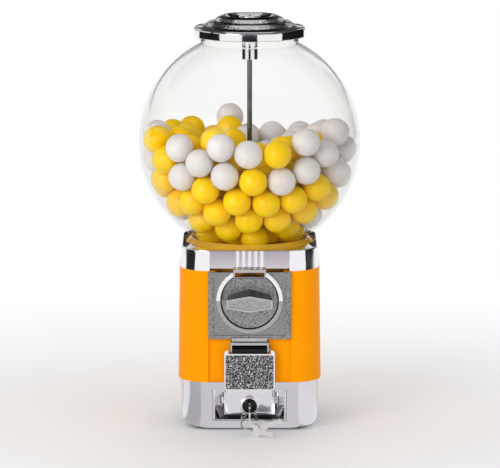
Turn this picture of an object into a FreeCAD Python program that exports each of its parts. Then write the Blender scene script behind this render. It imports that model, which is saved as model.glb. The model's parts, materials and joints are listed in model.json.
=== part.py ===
"""A table-top gumball machine, modelled as the pieces that it comes apart into.

Millimetres, +Z up, origin on the floor under the middle of the machine.  The
coin mechanism faces -Y, so "forward" below means towards -Y and a "reach" is a
distance forward of the middle plane.
"""

import FreeCAD, Part
import math
import os
import random

import Sketcher

Vector = FreeCAD.Vector
DOC = FreeCAD.newDocument("GumballMachine")
SHEET = DOC.addObject("Spreadsheet::Sheet", "Sizes")
NODES = {}

# Driving dimensions in millimetres, angles in degrees

DIMENSIONS = {
    # Clear globe
    "globe_radius": 111.0,
    "globe_wall": 2.2,
    "globe_height": 284.2,
    "globe_mouth": 49.2,
    "globe_mouth_top": 395.5,
    "globe_neck": 58.5,
    "globe_flare_top": 187.3,
    "globe_rim": 65.7,
    "globe_rim_low": 180.8,
    "globe_rim_edge": 182.6,
    # Lid and its lock
    "lid_radius": 56.0,
    "lid_low": 390.7,
    "lid_shoulder": 397.6,
    "lid_round": 3.0,
    "lid_wall": 2.0,
    "lid_ring_radius": 46.5,
    "lid_ring_height": 401.4,
    "lid_band_radius": 41.0,
    "lid_band_height": 405.6,
    "lid_step_radius": 35.6,
    "lid_step_height": 406.5,
    "lid_crown_radius": 32.3,
    "lid_crown_height": 409.9,
    "lid_top_radius": 27.0,
    "lid_top": 411.8,
    "lid_dish_radius": 22.5,
    "lid_dish": 408.6,
    "lid_seat": 397.8,
    "lid_lock_bezel": 11.0,
    "lid_lock_bezel_top": 411.2,
    "lid_lock_radius": 8.2,
    "lid_lock_low": 367.2,
    "lid_lock_split": 377.9,
    "lid_lock_groove": 0.8,
    "lid_plug_radius": 5.9,
    "lid_plug_low": 386.0,
    "lid_nut_across": 13.5,
    "lid_nut_height": 4.0,
    # Centre rod
    "rod_radius": 2.5,
    "rod_low": 3.5,
    "rod_top": 375.5,
    "rod_gap": 0.1,
    "nut_across": 4.6,
    "nut_height": 4.0,
    "washer_radius": 7.5,
    "washer_height": 1.2,
    # Collar
    "collar_low": 163.3,
    "collar_half": 69.6,
    "collar_height": 20.9,
    "collar_taper": 4.7,
    "collar_corner": 32.0,
    "collar_wall": 2.6,
    "collar_bore": 57.0,
    "collar_seat": 180.0,
    "collar_seat_radius": 66.3,
    "collar_seat_plate": 3.0,
    "collar_edge": 1.4,
    "collar_notch_half": 39.7,
    "collar_notch_top": 165.9,
    "rib_width": 3.6,
    "rib_pitch": 6.0,
    "rib_count": 5,
    "rib_low": 167.2,
    "rib_high": 183.4,
    "rib_foot": 70.7,
    "rib_head": 69.5,
    "rib_root": 66.5,
    # Hopper, ball wheel and crown gear
    "hopper_deck": 147.4,
    "hopper_deck_wall": 3.0,
    "hopper_deck_radius": 50.7,
    "hopper_skin": 1.5,
    "hopper_low": 137.0,
    "hopper_trough": 60.5,
    "hopper_trough_wall": 2.0,
    "hopper_flange_half": 67.9,
    "hopper_flange_corner": 30.0,
    "hopper_flange_wall": 2.0,
    "screw_reach": 51.0,
    "screw_radius": 2.0,
    "screw_head": 4.0,
    "screw_head_height": 2.5,
    "screw_length": 8.0,
    "outlet_radius": 14.9,
    "outlet_wall": 1.5,
    "wheel_radius": 57.0,
    "wheel_low": 148.0,
    "wheel_top": 175.6,
    "pocket_radius": 15.0,
    "pocket_circle": 34.0,
    "pocket_count": 6,
    "pocket_chamfer": 1.4,
    "bush_radius": 5.5,
    "bush_gap": 0.06,
    "cover_low": 176.4,
    "cover_wall": 1.6,
    "cover_reach": 54.0,
    "cover_half_angle": 28.0,
    "cover_hub": 8.0,
    "cover_hub_height": 5.0,
    "crown_teeth": 60,
    "crown_inner": 51.9,
    "crown_width": 4.9,
    "crown_root": 145.5,
    "crown_tip": 142.2,
    "crown_tooth_root": 3.1,
    "crown_tooth_tip": 1.3,
    # Body shell
    "body_low": 50.8,
    "body_half": 71.5,
    "body_taper": 0.8,
    "body_corner": 33.0,
    "body_wall": 2.0,
    "ledge_half": 62.8,
    "ledge_wall": 2.0,
    "foot_wall": 1.0,
    "panel_half": 41.2,
    "panel_reach": 68.8,
    "panel_wall": 2.5,
    "mech_half": 34.0,
    "mech_low": 100.0,
    "chute_mouth_half": 19.5,
    "chute_mouth_low": 54.5,
    "chute_mouth_high": 88.0,
    "floor_plate_half": 69.0,
    "floor_plate": 1.5,
    "keeper_half": 9.0,
    "keeper_reach": 35.0,
    "keeper_wall": 1.5,
    "keeper_low": 44.8,
    # Coin mechanism
    "knob_height": 134.4,
    "plate_half": 41.0,
    "plate_low": -39.1,
    "plate_high": 28.3,
    "plate_thick": 3.2,
    "plate_frame": 1.5,
    "frame_side": 5.0,
    "frame_low": 3.5,
    "ring_outer": 33.0,
    "ring_inner": 29.2,
    "ring_height": 3.0,
    "ring_step": 2.5,
    "slot_half": 14.7,
    "slot_low": 24.2,
    "slot_high": 28.9,
    "window_low": 20.2,
    "hood_half": 16.2,
    "hood_low": 22.9,
    "hood_high": 32.5,
    "hood_front": 79.0,
    "hood_gap": 0.2,
    "hood_chamfer": 0.8,
    "dial_radius": 28.8,
    "dial_back": 70.0,
    "dial_front": 73.6,
    "dial_chamfer": 1.0,
    "grip_front": 97.0,
    "grip_root_half": 20.5,
    "grip_root_peak": 11.5,
    "grip_root_end": 5.8,
    "grip_half": 22.9,
    "grip_peak": 8.2,
    "grip_end": 4.2,
    "grip_inset": 2.0,
    "grip_end_inset": 1.2,
    "grip_recess": 0.6,
    "hub_radius": 11.0,
    "spindle_radius": 4.0,
    "spindle_back": 42.8,
    "spindle_front": 82.0,
    "clip_radius": 7.0,
    "clip_groove": 3.2,
    "clip_back": 43.6,
    "clip_wall": 1.0,
    "coin_wheel_radius": 25.5,
    "coin_wheel_back": 60.0,
    "coin_wheel_front": 66.4,
    "coin_radius": 12.6,
    "coin_offset": 16.0,
    "coin_depth": 2.4,
    "ratchet_back": 57.6,
    "ratchet_root": 18.0,
    "ratchet_tip": 21.5,
    "ratchet_teeth": 12,
    "pinion_back": 52.2,
    "pinion_front": 56.8,
    "pinion_teeth": 10,
    "pinion_root": 7.2,
    "pinion_tip": 10.5,
    "pinion_tooth_root": 2.9,
    "pinion_tooth_pitch": 2.3,
    "pinion_tooth_tip": 1.0,
    "pinion_pitch": 9.08,
    "pinion_hub": 6.0,
    "back_plate": 45.5,
    "back_plate_wall": 2.5,
    "back_plate_half": 33.0,
    "back_plate_low": -30.4,
    "back_plate_high": 1.6,
    "tongue_half": 17.5,
    "tongue_high": 8.6,
    "post_radius": 3.0,
    "post_upper_x": 29.7,
    "post_upper_y": -3.0,
    "post_lower_x": 26.0,
    "post_lower_y": -26.0,
    "spring_wall": 0.6,
    "spring_width": 1.8,
    # Ball chute and coin guide
    "chute_inner": 15.2,
    "chute_skin": 1.6,
    "chute_low": 85.0,
    "chute_floor": 1.8,
    "chute_exit": 58.8,
    "chute_side": 31.0,
    "guide_left": -33.0,
    "guide_skin": 1.2,
    "guide_top": 103.0,
    "guide_top_right": 6.0,
    "guide_top_back": 57.0,
    "guide_waist": 93.0,
    "guide_right": -19.5,
    "guide_waist_back": 52.0,
    "guide_low": 53.0,
    "guide_low_back": 37.5,
    "guide_depth": 12.0,
    # Chute door and its hinge
    "door_axis": 85.5,
    "door_axis_reach": 75.5,
    "door_half": 25.2,
    "door_low": -41.7,
    "door_high": -1.0,
    "door_thick": 3.0,
    "door_corner": 3.5,
    "door_rim": 1.3,
    "door_rim_height": 0.7,
    "knuckle_radius": 3.9,
    "knuckle_half": 17.3,
    "pin_radius": 1.5,
    "pin_gap": 0.05,
    "pin_head": 2.6,
    "ear_inner": 17.6,
    "ear_outer": 19.2,
    "bar_low": 4.3,
    "bar_high": 7.3,
    "tab_half": 17.5,
    "tab_high": 11.2,
    "tab_thick": 1.7,
    "ear_slot": 21.3,
    "ear_slot_low": -4.6,
    # Base shell
    "base_low": 2.0,
    "base_half": 67.2,
    "base_taper": 3.05,
    "base_corner": 30.0,
    "base_wall": 2.6,
    "base_floor": 4.5,
    "base_edge": 9.0,
    "base_boss": 12.0,
    "base_boss_top": 14.0,
    "base_boss_pocket": 9.5,
    "base_boss_ceiling": 10.5,
    "foot_radius": 8.0,
    "foot_place": 45.0,
    "foot_recess": 1.2,
    "drawer_mouth_half": 36.9,
    "drawer_mouth_low": 11.5,
    "drawer_mouth_high": 43.7,
    # Coin drawer and its lock
    "drawer_half": 36.5,
    "drawer_low": 11.9,
    "drawer_high": 43.3,
    "drawer_front": 67.7,
    "drawer_back": 54.0,
    "dish_half": 36.0,
    "dish_low": 12.4,
    "dish_high": 42.8,
    "dish_floor": 56.0,
    "dish_floor_half": 23.7,
    "dish_floor_low": 15.2,
    "dish_floor_high": 41.5,
    "tray_half": 33.0,
    "tray_low": 13.4,
    "tray_high": 41.8,
    "tray_back": 12.6,
    "tray_wall": 1.5,
    "runner_half": 27.0,
    "runner_width": 6.0,
    "runner_gap": 0.4,
    "runner_lip": 2.0,
    "runner_lip_top": 20.0,
    "lock_height": 24.5,
    "lock_bezel": 9.2,
    "lock_bezel_front": 60.6,
    "lock_radius": 7.0,
    "lock_back": 36.0,
    "lock_nut_across": 9.2,
    "lock_nut_height": 4.0,
    "plug_radius": 5.0,
    "plug_gap": 0.08,
    "plug_back": 33.8,
    "plug_front": 61.0,
    "keyway_width": 1.9,
    "keyway_half": 3.6,
    "keyway_depth": 16.0,
    "cam_wall": 1.8,
    "cam_half": 5.5,
    "cam_length": 24.5,
    # Keys
    "key_wall": 1.6,
    "key_blade_half": 3.2,
    "key_blade_depth": 12.0,
    "key_bow_radius": 9.5,
    "key_bow_reach": 77.0,
    "key_bow_height": 21.0,
    "key_hole": 2.4,
    "key_hole_reach": 79.5,
    "key_hole_height": 15.5,
    "ring_radius": 8.5,
    "ring_wire": 0.7,
    "ring_lean": 62.0,
    "spare_bow": 7.0,
    "spare_hole": 2.4,
    "spare_hole_offset": 4.0,
    "spare_blade": 14.0,
    "spare_blade_half": 2.8,
    "spare_wall": 1.4,
    "spare_first_turn": 15.0,
    "spare_second_turn": 62.0,
    # Gumballs
    "ball_radius": 14.0,
    "ball_room": 0.22,
    "ball_count": 146,
}


class Size:
    """A measure that is a number and, at the same time, an expression on the sheet."""

    def __init__(self, value, text):
        self.value = float(value)
        self.text = text

    def __add__(self, other):
        other = size_of(other)
        return Size(self.value + other.value, f"({self.text} + {other.text})")

    def __radd__(self, other):
        return size_of(other) + self

    def __sub__(self, other):
        other = size_of(other)
        return Size(self.value - other.value, f"({self.text} - {other.text})")

    def __rsub__(self, other):
        return size_of(other) - self

    def __mul__(self, other):
        other = size_of(other)
        return Size(self.value * other.value, f"({self.text} * {other.text})")

    def __rmul__(self, other):
        return size_of(other) * self

    def __truediv__(self, other):
        other = size_of(other)
        return Size(self.value / other.value, f"({self.text} / {other.text})")

    def __neg__(self):
        return Size(-self.value, f"(0 - {self.text})")


def size_of(measure):
    """Return the measure as a Size; a plain number becomes a constant."""
    if isinstance(measure, Size):
        return measure
    return Size(measure, f"({float(measure)})")


def leg(hypotenuse, other_leg):
    """Return the second leg of a right triangle, such as a sphere's height at a radius."""
    value = math.sqrt(hypotenuse.value ** 2 - other_leg.value ** 2)
    return Size(value, f"sqrt({hypotenuse.text}^2 - {other_leg.text}^2)")


class Sheet:
    """The driving dimensions by name, each as a Size bound to its cell."""

    def __init__(self, cells, table):
        self.table = table
        for row, (alias, value) in enumerate(table.items(), start=1):
            cells.set(f"A{row}", alias)
            cells.set(f"B{row}", str(value))
            cells.setAlias(f"B{row}", alias)

    def __getattr__(self, alias):
        return Size(self.table[alias], f"Sizes.{alias}")


S = Sheet(SHEET, DIMENSIONS)
DOC.recompute()

# Rotations that carry a piece's own Z axis to a direction of the machine
UPRIGHT = FreeCAD.Rotation()
FORWARD = FreeCAD.Rotation(Vector(1, 0, 0), 90)
SIDEWAYS = FreeCAD.Rotation(Vector(0, 1, 0), 90)


def bind(item, prop, measure):
    """Set a property of an item by an expression on the sheet."""
    item.setExpression(prop, size_of(measure).text)


def place(item, spot):
    """Bind an item's position to three measures."""
    for axis, measure in zip("xyz", spot):
        bind(item, f"Placement.Base.{axis}", measure)


def new_body(label, turn=UPRIGHT, spot=(0, 0, 0)):
    """Start a sub-part made of sketches and features."""
    body = DOC.addObject("PartDesign::Body", label)
    body.Label = label
    body.Placement = FreeCAD.Placement(Vector(), turn)
    place(body, spot)
    NODES[label] = body
    return body


def new_sketch(body, name, plane="XY_Plane", level=0):
    """Attach a sketch to one of a body's own planes, raised by a level."""
    sketch = body.newObject("Sketcher::SketchObject", f"{body.Label}_{name}")
    support = next(item for item in body.Origin.OriginFeatures if item.Role == plane)
    sketch.AttachmentSupport = [(support, "")]
    sketch.MapMode = "FlatFace"
    bind(sketch, "AttachmentOffset.Base.z", level)
    return sketch


def arc_between(start, end, radius, turn):
    """Return the arc from start to end; turn is 1 for a left bend and -1 for a right one."""
    chord = end - start
    middle = (start + end) * 0.5
    left = Vector(-chord.y, chord.x, 0).normalize()
    rise = math.sqrt(max(radius ** 2 - chord.Length ** 2 / 4, 0))
    centre = middle + left * (rise * turn)
    first, last = (start, end) if turn > 0 else (end, start)
    begin = math.atan2(first.y - centre.y, first.x - centre.x)
    finish = math.atan2(last.y - centre.y, last.x - centre.x)
    return Part.ArcOfCircle(Part.Circle(centre, Vector(0, 0, 1), radius), begin, finish)


def draw_outline(sketch, corners, arcs=None):
    """Draw a closed outline through corners, each held by two dimensions.

    arcs maps the index of an edge to (radius, turn) where the edge is round.
    """
    arcs = arcs or {}
    spots = [(size_of(across), size_of(along)) for across, along in corners]
    points = [Vector(across.value, along.value, 0) for across, along in spots]
    edges = []
    for index, start in enumerate(points):
        end = points[(index + 1) % len(points)]
        if index in arcs:
            radius, turn = arcs[index]
            curve = arc_between(start, end, size_of(radius).value, turn)
            ends = (1, 2) if turn > 0 else (2, 1)
        else:
            curve = Part.LineSegment(start, end)
            ends = (1, 2)
        edges.append((sketch.addGeometry(curve, False), ends))
    for index, (edge, ends) in enumerate(edges):
        following, next_ends = edges[(index + 1) % len(edges)]
        sketch.addConstraint(Sketcher.Constraint("Coincident", edge, ends[1], following, next_ends[0]))
    for (edge, ends), spot in zip(edges, spots):
        hold_point(sketch, edge, ends[0], spot)
    for index, (radius, _) in arcs.items():
        hold_radius(sketch, edges[index][0], radius)


def hold_point(sketch, edge, end, spot):
    """Fix one end of an edge at two measures from the sketch's origin."""
    for kind, axis, measure in (("DistanceX", -2, spot[0]), ("DistanceY", -1, spot[1])):
        if abs(measure.value) < 1e-9:
            sketch.addConstraint(Sketcher.Constraint("PointOnObject", edge, end, axis))
            continue
        rule = sketch.addConstraint(Sketcher.Constraint(kind, -1, 1, edge, end, measure.value))
        bind(sketch, f"Constraints[{rule}]", measure)


def hold_radius(sketch, edge, radius):
    """Fix the radius of an arc or a circle."""
    radius = size_of(radius)
    rule = sketch.addConstraint(Sketcher.Constraint("Radius", edge, radius.value))
    bind(sketch, f"Constraints[{rule}]", radius)


def draw_circle(sketch, across, along, radius):
    """Draw a circle held by its centre and radius."""
    spot = (size_of(across), size_of(along))
    centre = Vector(spot[0].value, spot[1].value, 0)
    edge = sketch.addGeometry(Part.Circle(centre, Vector(0, 0, 1), size_of(radius).value), False)
    hold_point(sketch, edge, 3, spot)
    hold_radius(sketch, edge, radius)


def draw_rectangle(sketch, left, low, right, high):
    """Draw an upright rectangle."""
    draw_outline(sketch, [(left, low), (right, low), (right, high), (left, high)])


def draw_rounded(sketch, left, low, right, high, corner):
    """Draw an upright rectangle with round corners."""
    corners = [
        (left + corner, low),
        (right - corner, low),
        (right, low + corner),
        (right, high - corner),
        (right - corner, high),
        (left + corner, high),
        (left, high - corner),
        (left, low + corner),
    ]
    draw_outline(sketch, corners, {index: (corner, 1) for index in (1, 3, 5, 7)})


def draw_rounded_square(sketch, half, corner):
    """Draw the rounded square of the machine's plan."""
    draw_rounded(sketch, -half, -half, half, half, corner)


def add_feature(body, kind, sketch, **measures):
    """Add a sketch-based feature, bind its measures and return it."""
    feature = body.newObject(f"PartDesign::{kind}", f"{sketch.Name}_{kind}")
    feature.Profile = sketch
    for prop, measure in measures.items():
        bind(feature, prop, measure)
    DOC.recompute()
    return feature


def pad(body, sketch, length, taper=0):
    """Raise a sketch along its normal."""
    return add_feature(body, "Pad", sketch, Length=length, TaperAngle=taper)


def pocket(body, sketch, length, upward=False, taper=0):
    """Sink a sketch against its normal, or along it, and make sure that it cuts."""
    before = body.Shape.Volume
    feature = body.newObject("PartDesign::Pocket", f"{sketch.Name}_Pocket")
    feature.Profile = sketch
    feature.Reversed = upward
    bind(feature, "Length", length)
    bind(feature, "TaperAngle", taper)
    DOC.recompute()
    if body.Shape.Volume > before - 1e-3:
        raise RuntimeError(f"{feature.Name} cuts nothing")
    return feature


def revolve(body, sketch):
    """Turn a sketch round its upright axis."""
    feature = body.newObject("PartDesign::Revolution", f"{sketch.Name}_Revolution")
    feature.Profile = sketch
    feature.ReferenceAxis = (sketch, ["V_Axis"])
    feature.Angle = 360
    DOC.recompute()
    return feature


def groove(body, sketch):
    """Turn a sketch round its upright axis and take it away."""
    before = body.Shape.Volume
    feature = body.newObject("PartDesign::Groove", f"{sketch.Name}_Groove")
    feature.Profile = sketch
    feature.ReferenceAxis = (sketch, ["V_Axis"])
    feature.Angle = 360
    DOC.recompute()
    if body.Shape.Volume > before - 1e-3:
        raise RuntimeError(f"{feature.Name} cuts nothing")
    return feature


def loft(body, sketches, kind="AdditiveLoft"):
    """Join sketches by straight sides, adding or taking away."""
    feature = body.newObject(f"PartDesign::{kind}", f"{sketches[0].Name}_{kind}")
    feature.Profile = sketches[0]
    feature.Sections = sketches[1:]
    feature.Ruled = True
    DOC.recompute()
    return feature


def polar_pattern(body, feature, sketch, count):
    """Repeat a feature round the normal of its sketch."""
    pattern = body.newObject("PartDesign::PolarPattern", f"{feature.Name}_Pattern")
    pattern.Originals = [feature]
    pattern.Axis = (sketch, ["N_Axis"])
    pattern.Angle = 360
    bind(pattern, "Occurrences", count)
    body.Tip = pattern
    DOC.recompute()
    return pattern


def edge_names(shape, wanted):
    """Name the edges of a shape whose middle point and length pass a test."""
    names = []
    for number, edge in enumerate(shape.Edges, start=1):
        if wanted(edge.CenterOfMass, edge):
            names.append(f"Edge{number}")
    return names


def dress(body, kind, prop, size, wanted):
    """Fillet or chamfer the edges of the body's last feature that pass a test."""
    base = body.Tip
    names = edge_names(base.Shape, wanted)
    if not names:
        raise RuntimeError(f"{body.Label} has no edge to dress")
    feature = body.newObject(f"PartDesign::{kind}", f"{base.Name}_{kind}")
    feature.Base = (base, names)
    bind(feature, prop, size)
    DOC.recompute()
    return feature


def fillet(body, radius, wanted):
    """Round the edges that pass a test."""
    return dress(body, "Fillet", "Radius", radius, wanted)


def chamfer(body, size, wanted):
    """Bevel the edges that pass a test."""
    return dress(body, "Chamfer", "Size", size, wanted)


def turned(label, corners, arcs=None, turn=UPRIGHT, spot=(0, 0, 0)):
    """Make a turned piece from its half outline of (radius, height) corners."""
    body = new_body(label, turn, spot)
    sketch = new_sketch(body, "outline", "XZ_Plane")
    draw_outline(sketch, corners, arcs)
    revolve(body, sketch)
    return body


def cylinder(name, radius, height, spot, turn=UPRIGHT):
    """Make a cylinder that stands on a spot."""
    item = DOC.addObject("Part::Cylinder", name)
    bind(item, "Radius", radius)
    bind(item, "Height", height)
    item.Placement = FreeCAD.Placement(Vector(), turn)
    place(item, spot)
    return item


def hexagon(name, across, height, spot, turn=UPRIGHT):
    """Make a hexagonal prism; across is half its width over the flats."""
    item = DOC.addObject("Part::Prism", name)
    item.Polygon = 6
    bind(item, "Circumradius", across / math.cos(math.pi / 6))
    bind(item, "Height", height)
    item.Placement = FreeCAD.Placement(Vector(), turn)
    place(item, spot)
    return item


def box(name, low, high):
    """Make a box between two opposite corners."""
    item = DOC.addObject("Part::Box", name)
    for prop, start, end in zip(("Length", "Width", "Height"), low, high):
        bind(item, prop, size_of(end) - start)
    place(item, low)
    return item


def cut(name, base, tool):
    """Take a tool away from a base."""
    item = DOC.addObject("Part::Cut", name)
    item.Base = base
    item.Tool = tool
    return item


def fuse(name, items):
    """Join items into one."""
    item = DOC.addObject("Part::MultiFuse", name)
    item.Shapes = items
    return item


def group(label, items):
    """Keep several separate solids together as one sub-part."""
    item = DOC.addObject("Part::Compound", label)
    item.Label = label
    item.Links = items
    NODES[label] = item
    return item


def keep(label, item):
    """Name an item as a sub-part."""
    item.Label = label
    NODES[label] = item
    return item


# Globe, lid and rod


def make_globe():
    """Clear globe: a mouth ring, an upper and a lower bowl bonded at their seams, and its gasket."""
    inner = S.globe_radius - S.globe_wall
    mouth_inner = S.globe_mouth - S.globe_wall
    neck_inner = S.globe_neck - S.globe_wall
    shoulder = S.globe_height + leg(S.globe_radius, S.globe_mouth)
    turned("globe_neck", [
        (mouth_inner, shoulder),
        (S.globe_mouth, shoulder),
        (S.globe_mouth, S.globe_mouth_top),
        (mouth_inner, S.globe_mouth_top),
    ])
    turned("globe_upper", [
        (inner, S.globe_height),
        (S.globe_radius, S.globe_height),
        (S.globe_mouth, shoulder),
        (mouth_inner, shoulder),
        (mouth_inner, S.globe_height + leg(inner, mouth_inner)),
    ], {1: (S.globe_radius, 1), 4: (inner, -1)})
    turned("globe_lower", [
        (neck_inner, S.globe_rim_low),
        (S.globe_rim, S.globe_rim_low),
        (S.globe_rim, S.globe_rim_edge),
        (S.globe_neck, S.globe_flare_top),
        (S.globe_neck, S.globe_height - leg(S.globe_radius, S.globe_neck)),
        (S.globe_radius, S.globe_height),
        (inner, S.globe_height),
        (neck_inner, S.globe_height - leg(inner, neck_inner)),
    ], {4: (S.globe_radius, 1), 6: (inner, -1)})
    turned("globe_gasket", [
        (S.collar_bore, S.collar_seat),
        (S.globe_rim, S.collar_seat),
        (S.globe_rim, S.globe_rim_low),
        (S.collar_bore, S.globe_rim_low),
    ])


def make_lid():
    """Spun lid in two steps with a dished top, its gasket and its lock."""
    hole = S.lid_lock_radius
    corners = [
        (S.lid_radius, S.lid_low),
        (S.lid_radius, S.lid_shoulder),
        (S.lid_radius - S.lid_round, S.lid_shoulder + S.lid_round),
        (S.lid_ring_radius, S.lid_ring_height),
        (S.lid_band_radius, S.lid_band_height),
        (S.lid_step_radius, S.lid_step_height),
        (S.lid_crown_radius, S.lid_crown_height),
        (S.lid_top_radius, S.lid_top),
        (S.lid_dish_radius, S.lid_dish),
        (hole, S.lid_dish),
        (hole, S.lid_dish - S.lid_wall),
        (S.lid_top_radius, S.lid_dish - S.lid_wall),
        (S.lid_step_radius - S.lid_wall, S.lid_band_height - S.lid_wall),
        (S.lid_band_radius - S.lid_wall, S.lid_band_height - S.lid_wall),
        (S.lid_ring_radius - S.lid_wall, S.lid_seat),
        (S.lid_radius - S.lid_wall, S.lid_seat),
        (S.lid_radius - S.lid_wall, S.lid_low),
    ]
    turned("lid", corners, {1: (S.lid_round, 1)})
    turned("lid_gasket", [
        (S.globe_mouth - S.globe_wall, S.globe_mouth_top),
        (S.globe_mouth, S.globe_mouth_top),
        (S.globe_mouth, S.lid_seat),
        (S.globe_mouth - S.globe_wall, S.lid_seat),
    ])
    make_lid_lock()


def make_lid_lock():
    """Lock barrel that hangs under the lid and grips the rod, with nut and plug."""
    socket = S.rod_radius + S.rod_gap
    plug_bore = S.lid_plug_radius + S.plug_gap
    waist = S.lid_lock_radius - S.lid_lock_groove
    split_top = S.lid_lock_split + S.lid_lock_groove
    turned("lid_lock_barrel", [
        (socket, S.lid_lock_low),
        (S.lid_lock_radius, S.lid_lock_low),
        (S.lid_lock_radius, S.lid_lock_split),
        (waist, S.lid_lock_split),
        (waist, split_top),
        (S.lid_lock_radius, split_top),
        (S.lid_lock_radius, S.lid_dish),
        (S.lid_lock_bezel, S.lid_dish),
        (S.lid_lock_bezel, S.lid_lock_bezel_top - S.lid_lock_groove),
        (S.lid_lock_bezel - S.lid_lock_groove, S.lid_lock_bezel_top),
        (plug_bore, S.lid_lock_bezel_top),
        (plug_bore, S.lid_plug_low),
        (socket, S.lid_plug_low),
    ])
    nut_spot = (0, 0, S.lid_dish - S.lid_wall - S.lid_nut_height)
    nut = hexagon("LidNutBlank", S.lid_nut_across, S.lid_nut_height, nut_spot)
    bore = cylinder("LidNutBore", S.lid_lock_radius, S.lid_nut_height, nut_spot)
    keep("lid_lock_nut", cut("LidNut", nut, bore))
    plug = new_body("lid_lock_plug")
    disc = new_sketch(plug, "disc", level=S.lid_plug_low)
    draw_circle(disc, 0, 0, S.lid_plug_radius)
    pad(plug, disc, S.lid_lock_bezel_top - S.lid_plug_low)
    slot = new_sketch(plug, "keyway", level=S.lid_lock_bezel_top)
    draw_rectangle(slot, -S.keyway_width / 2, -S.keyway_half, S.keyway_width / 2, S.keyway_half)
    pocket(plug, slot, S.keyway_depth)


def make_rod():
    """Centre rod with the groove that the lid lock grips, its nuts and washers."""
    tip = S.rod_radius / 2
    turned("centre_rod", [
        (0, S.rod_low),
        (S.rod_radius, S.rod_low),
        (S.rod_radius, S.rod_top - tip),
        (tip, S.rod_top),
        (0, S.rod_top),
    ])
    washer_low = S.base_boss_ceiling - S.washer_height
    hopper_low = S.hopper_deck - S.hopper_deck_wall - S.washer_height
    cover_top = S.cover_low + S.cover_hub_height
    nut_levels = [washer_low - S.nut_height, hopper_low - S.nut_height, cover_top]
    nuts = [ring_nut(f"RodNut{index}", level) for index, level in enumerate(nut_levels)]
    group("rod_nuts", nuts)
    washers = []
    for index, level in enumerate((washer_low, hopper_low)):
        disc = cylinder(f"Washer{index}", S.washer_radius, S.washer_height, (0, 0, level))
        hole = cylinder(f"WasherHole{index}", S.rod_radius, S.washer_height, (0, 0, level))
        washers.append(cut(f"RodWasher{index}", disc, hole))
    group("rod_washers", washers)


def ring_nut(name, level):
    """Hexagon nut on the rod at a level."""
    blank = hexagon(f"{name}Blank", S.nut_across, S.nut_height, (0, 0, level))
    bore = cylinder(f"{name}Bore", S.rod_radius, S.nut_height, (0, 0, level))
    return cut(name, blank, bore)


# Collar, hopper and ball wheel


def make_collar():
    """Die-cast collar: rounded square with a flat top, a round seat and five ribs."""
    body = new_body("collar")
    plan = new_sketch(body, "plan", level=S.collar_low)
    draw_rounded_square(plan, S.collar_half, S.collar_corner)
    pad(body, plan, S.collar_height, -S.collar_taper)
    top = DIMENSIONS["collar_low"] + DIMENSIONS["collar_height"]
    fillet(body, S.collar_edge, lambda middle, edge: abs(middle.z - top) < 0.01)
    add_ribs(body)
    seat = new_sketch(body, "seat", level=S.collar_low + S.collar_height)
    draw_circle(seat, 0, 0, S.collar_seat_radius)
    pocket(body, seat, S.collar_low + S.collar_height - S.collar_seat)
    inside = new_sketch(body, "inside", level=S.collar_low)
    draw_rounded_square(inside, S.collar_half - S.collar_wall, S.collar_corner - S.collar_wall)
    depth = S.collar_seat - S.collar_seat_plate - S.collar_low
    pocket(body, inside, depth, upward=True, taper=-S.collar_taper)
    bore = new_sketch(body, "bore", level=S.collar_seat)
    draw_circle(bore, 0, 0, S.collar_bore)
    pocket(body, bore, S.collar_seat_plate)
    notch = new_sketch(body, "notch", "XZ_Plane", level=S.collar_half)
    draw_rectangle(notch, -S.collar_notch_half, S.collar_low, S.collar_notch_half, S.collar_notch_top)
    pocket(body, notch, S.collar_wall * 2)


def add_ribs(body):
    """Row of upright ribs on the collar's front."""
    first = -S.rib_pitch * (S.rib_count - 1) / 2 - S.rib_width / 2
    side = new_sketch(body, "rib", "YZ_Plane", level=first)
    draw_outline(side, [
        (-S.rib_root, S.rib_low),
        (-S.rib_foot, S.rib_low),
        (-S.rib_head, S.rib_high),
        (-S.rib_root, S.rib_high),
    ])
    rib = pad(body, side, S.rib_width)
    row = body.newObject("PartDesign::LinearPattern", "collar_rib_row")
    row.Originals = [rib]
    row.Direction = (side, ["N_Axis"])
    bind(row, "Length", S.rib_pitch * (S.rib_count - 1))
    bind(row, "Occurrences", S.rib_count)
    body.Tip = row
    DOC.recompute()


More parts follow.
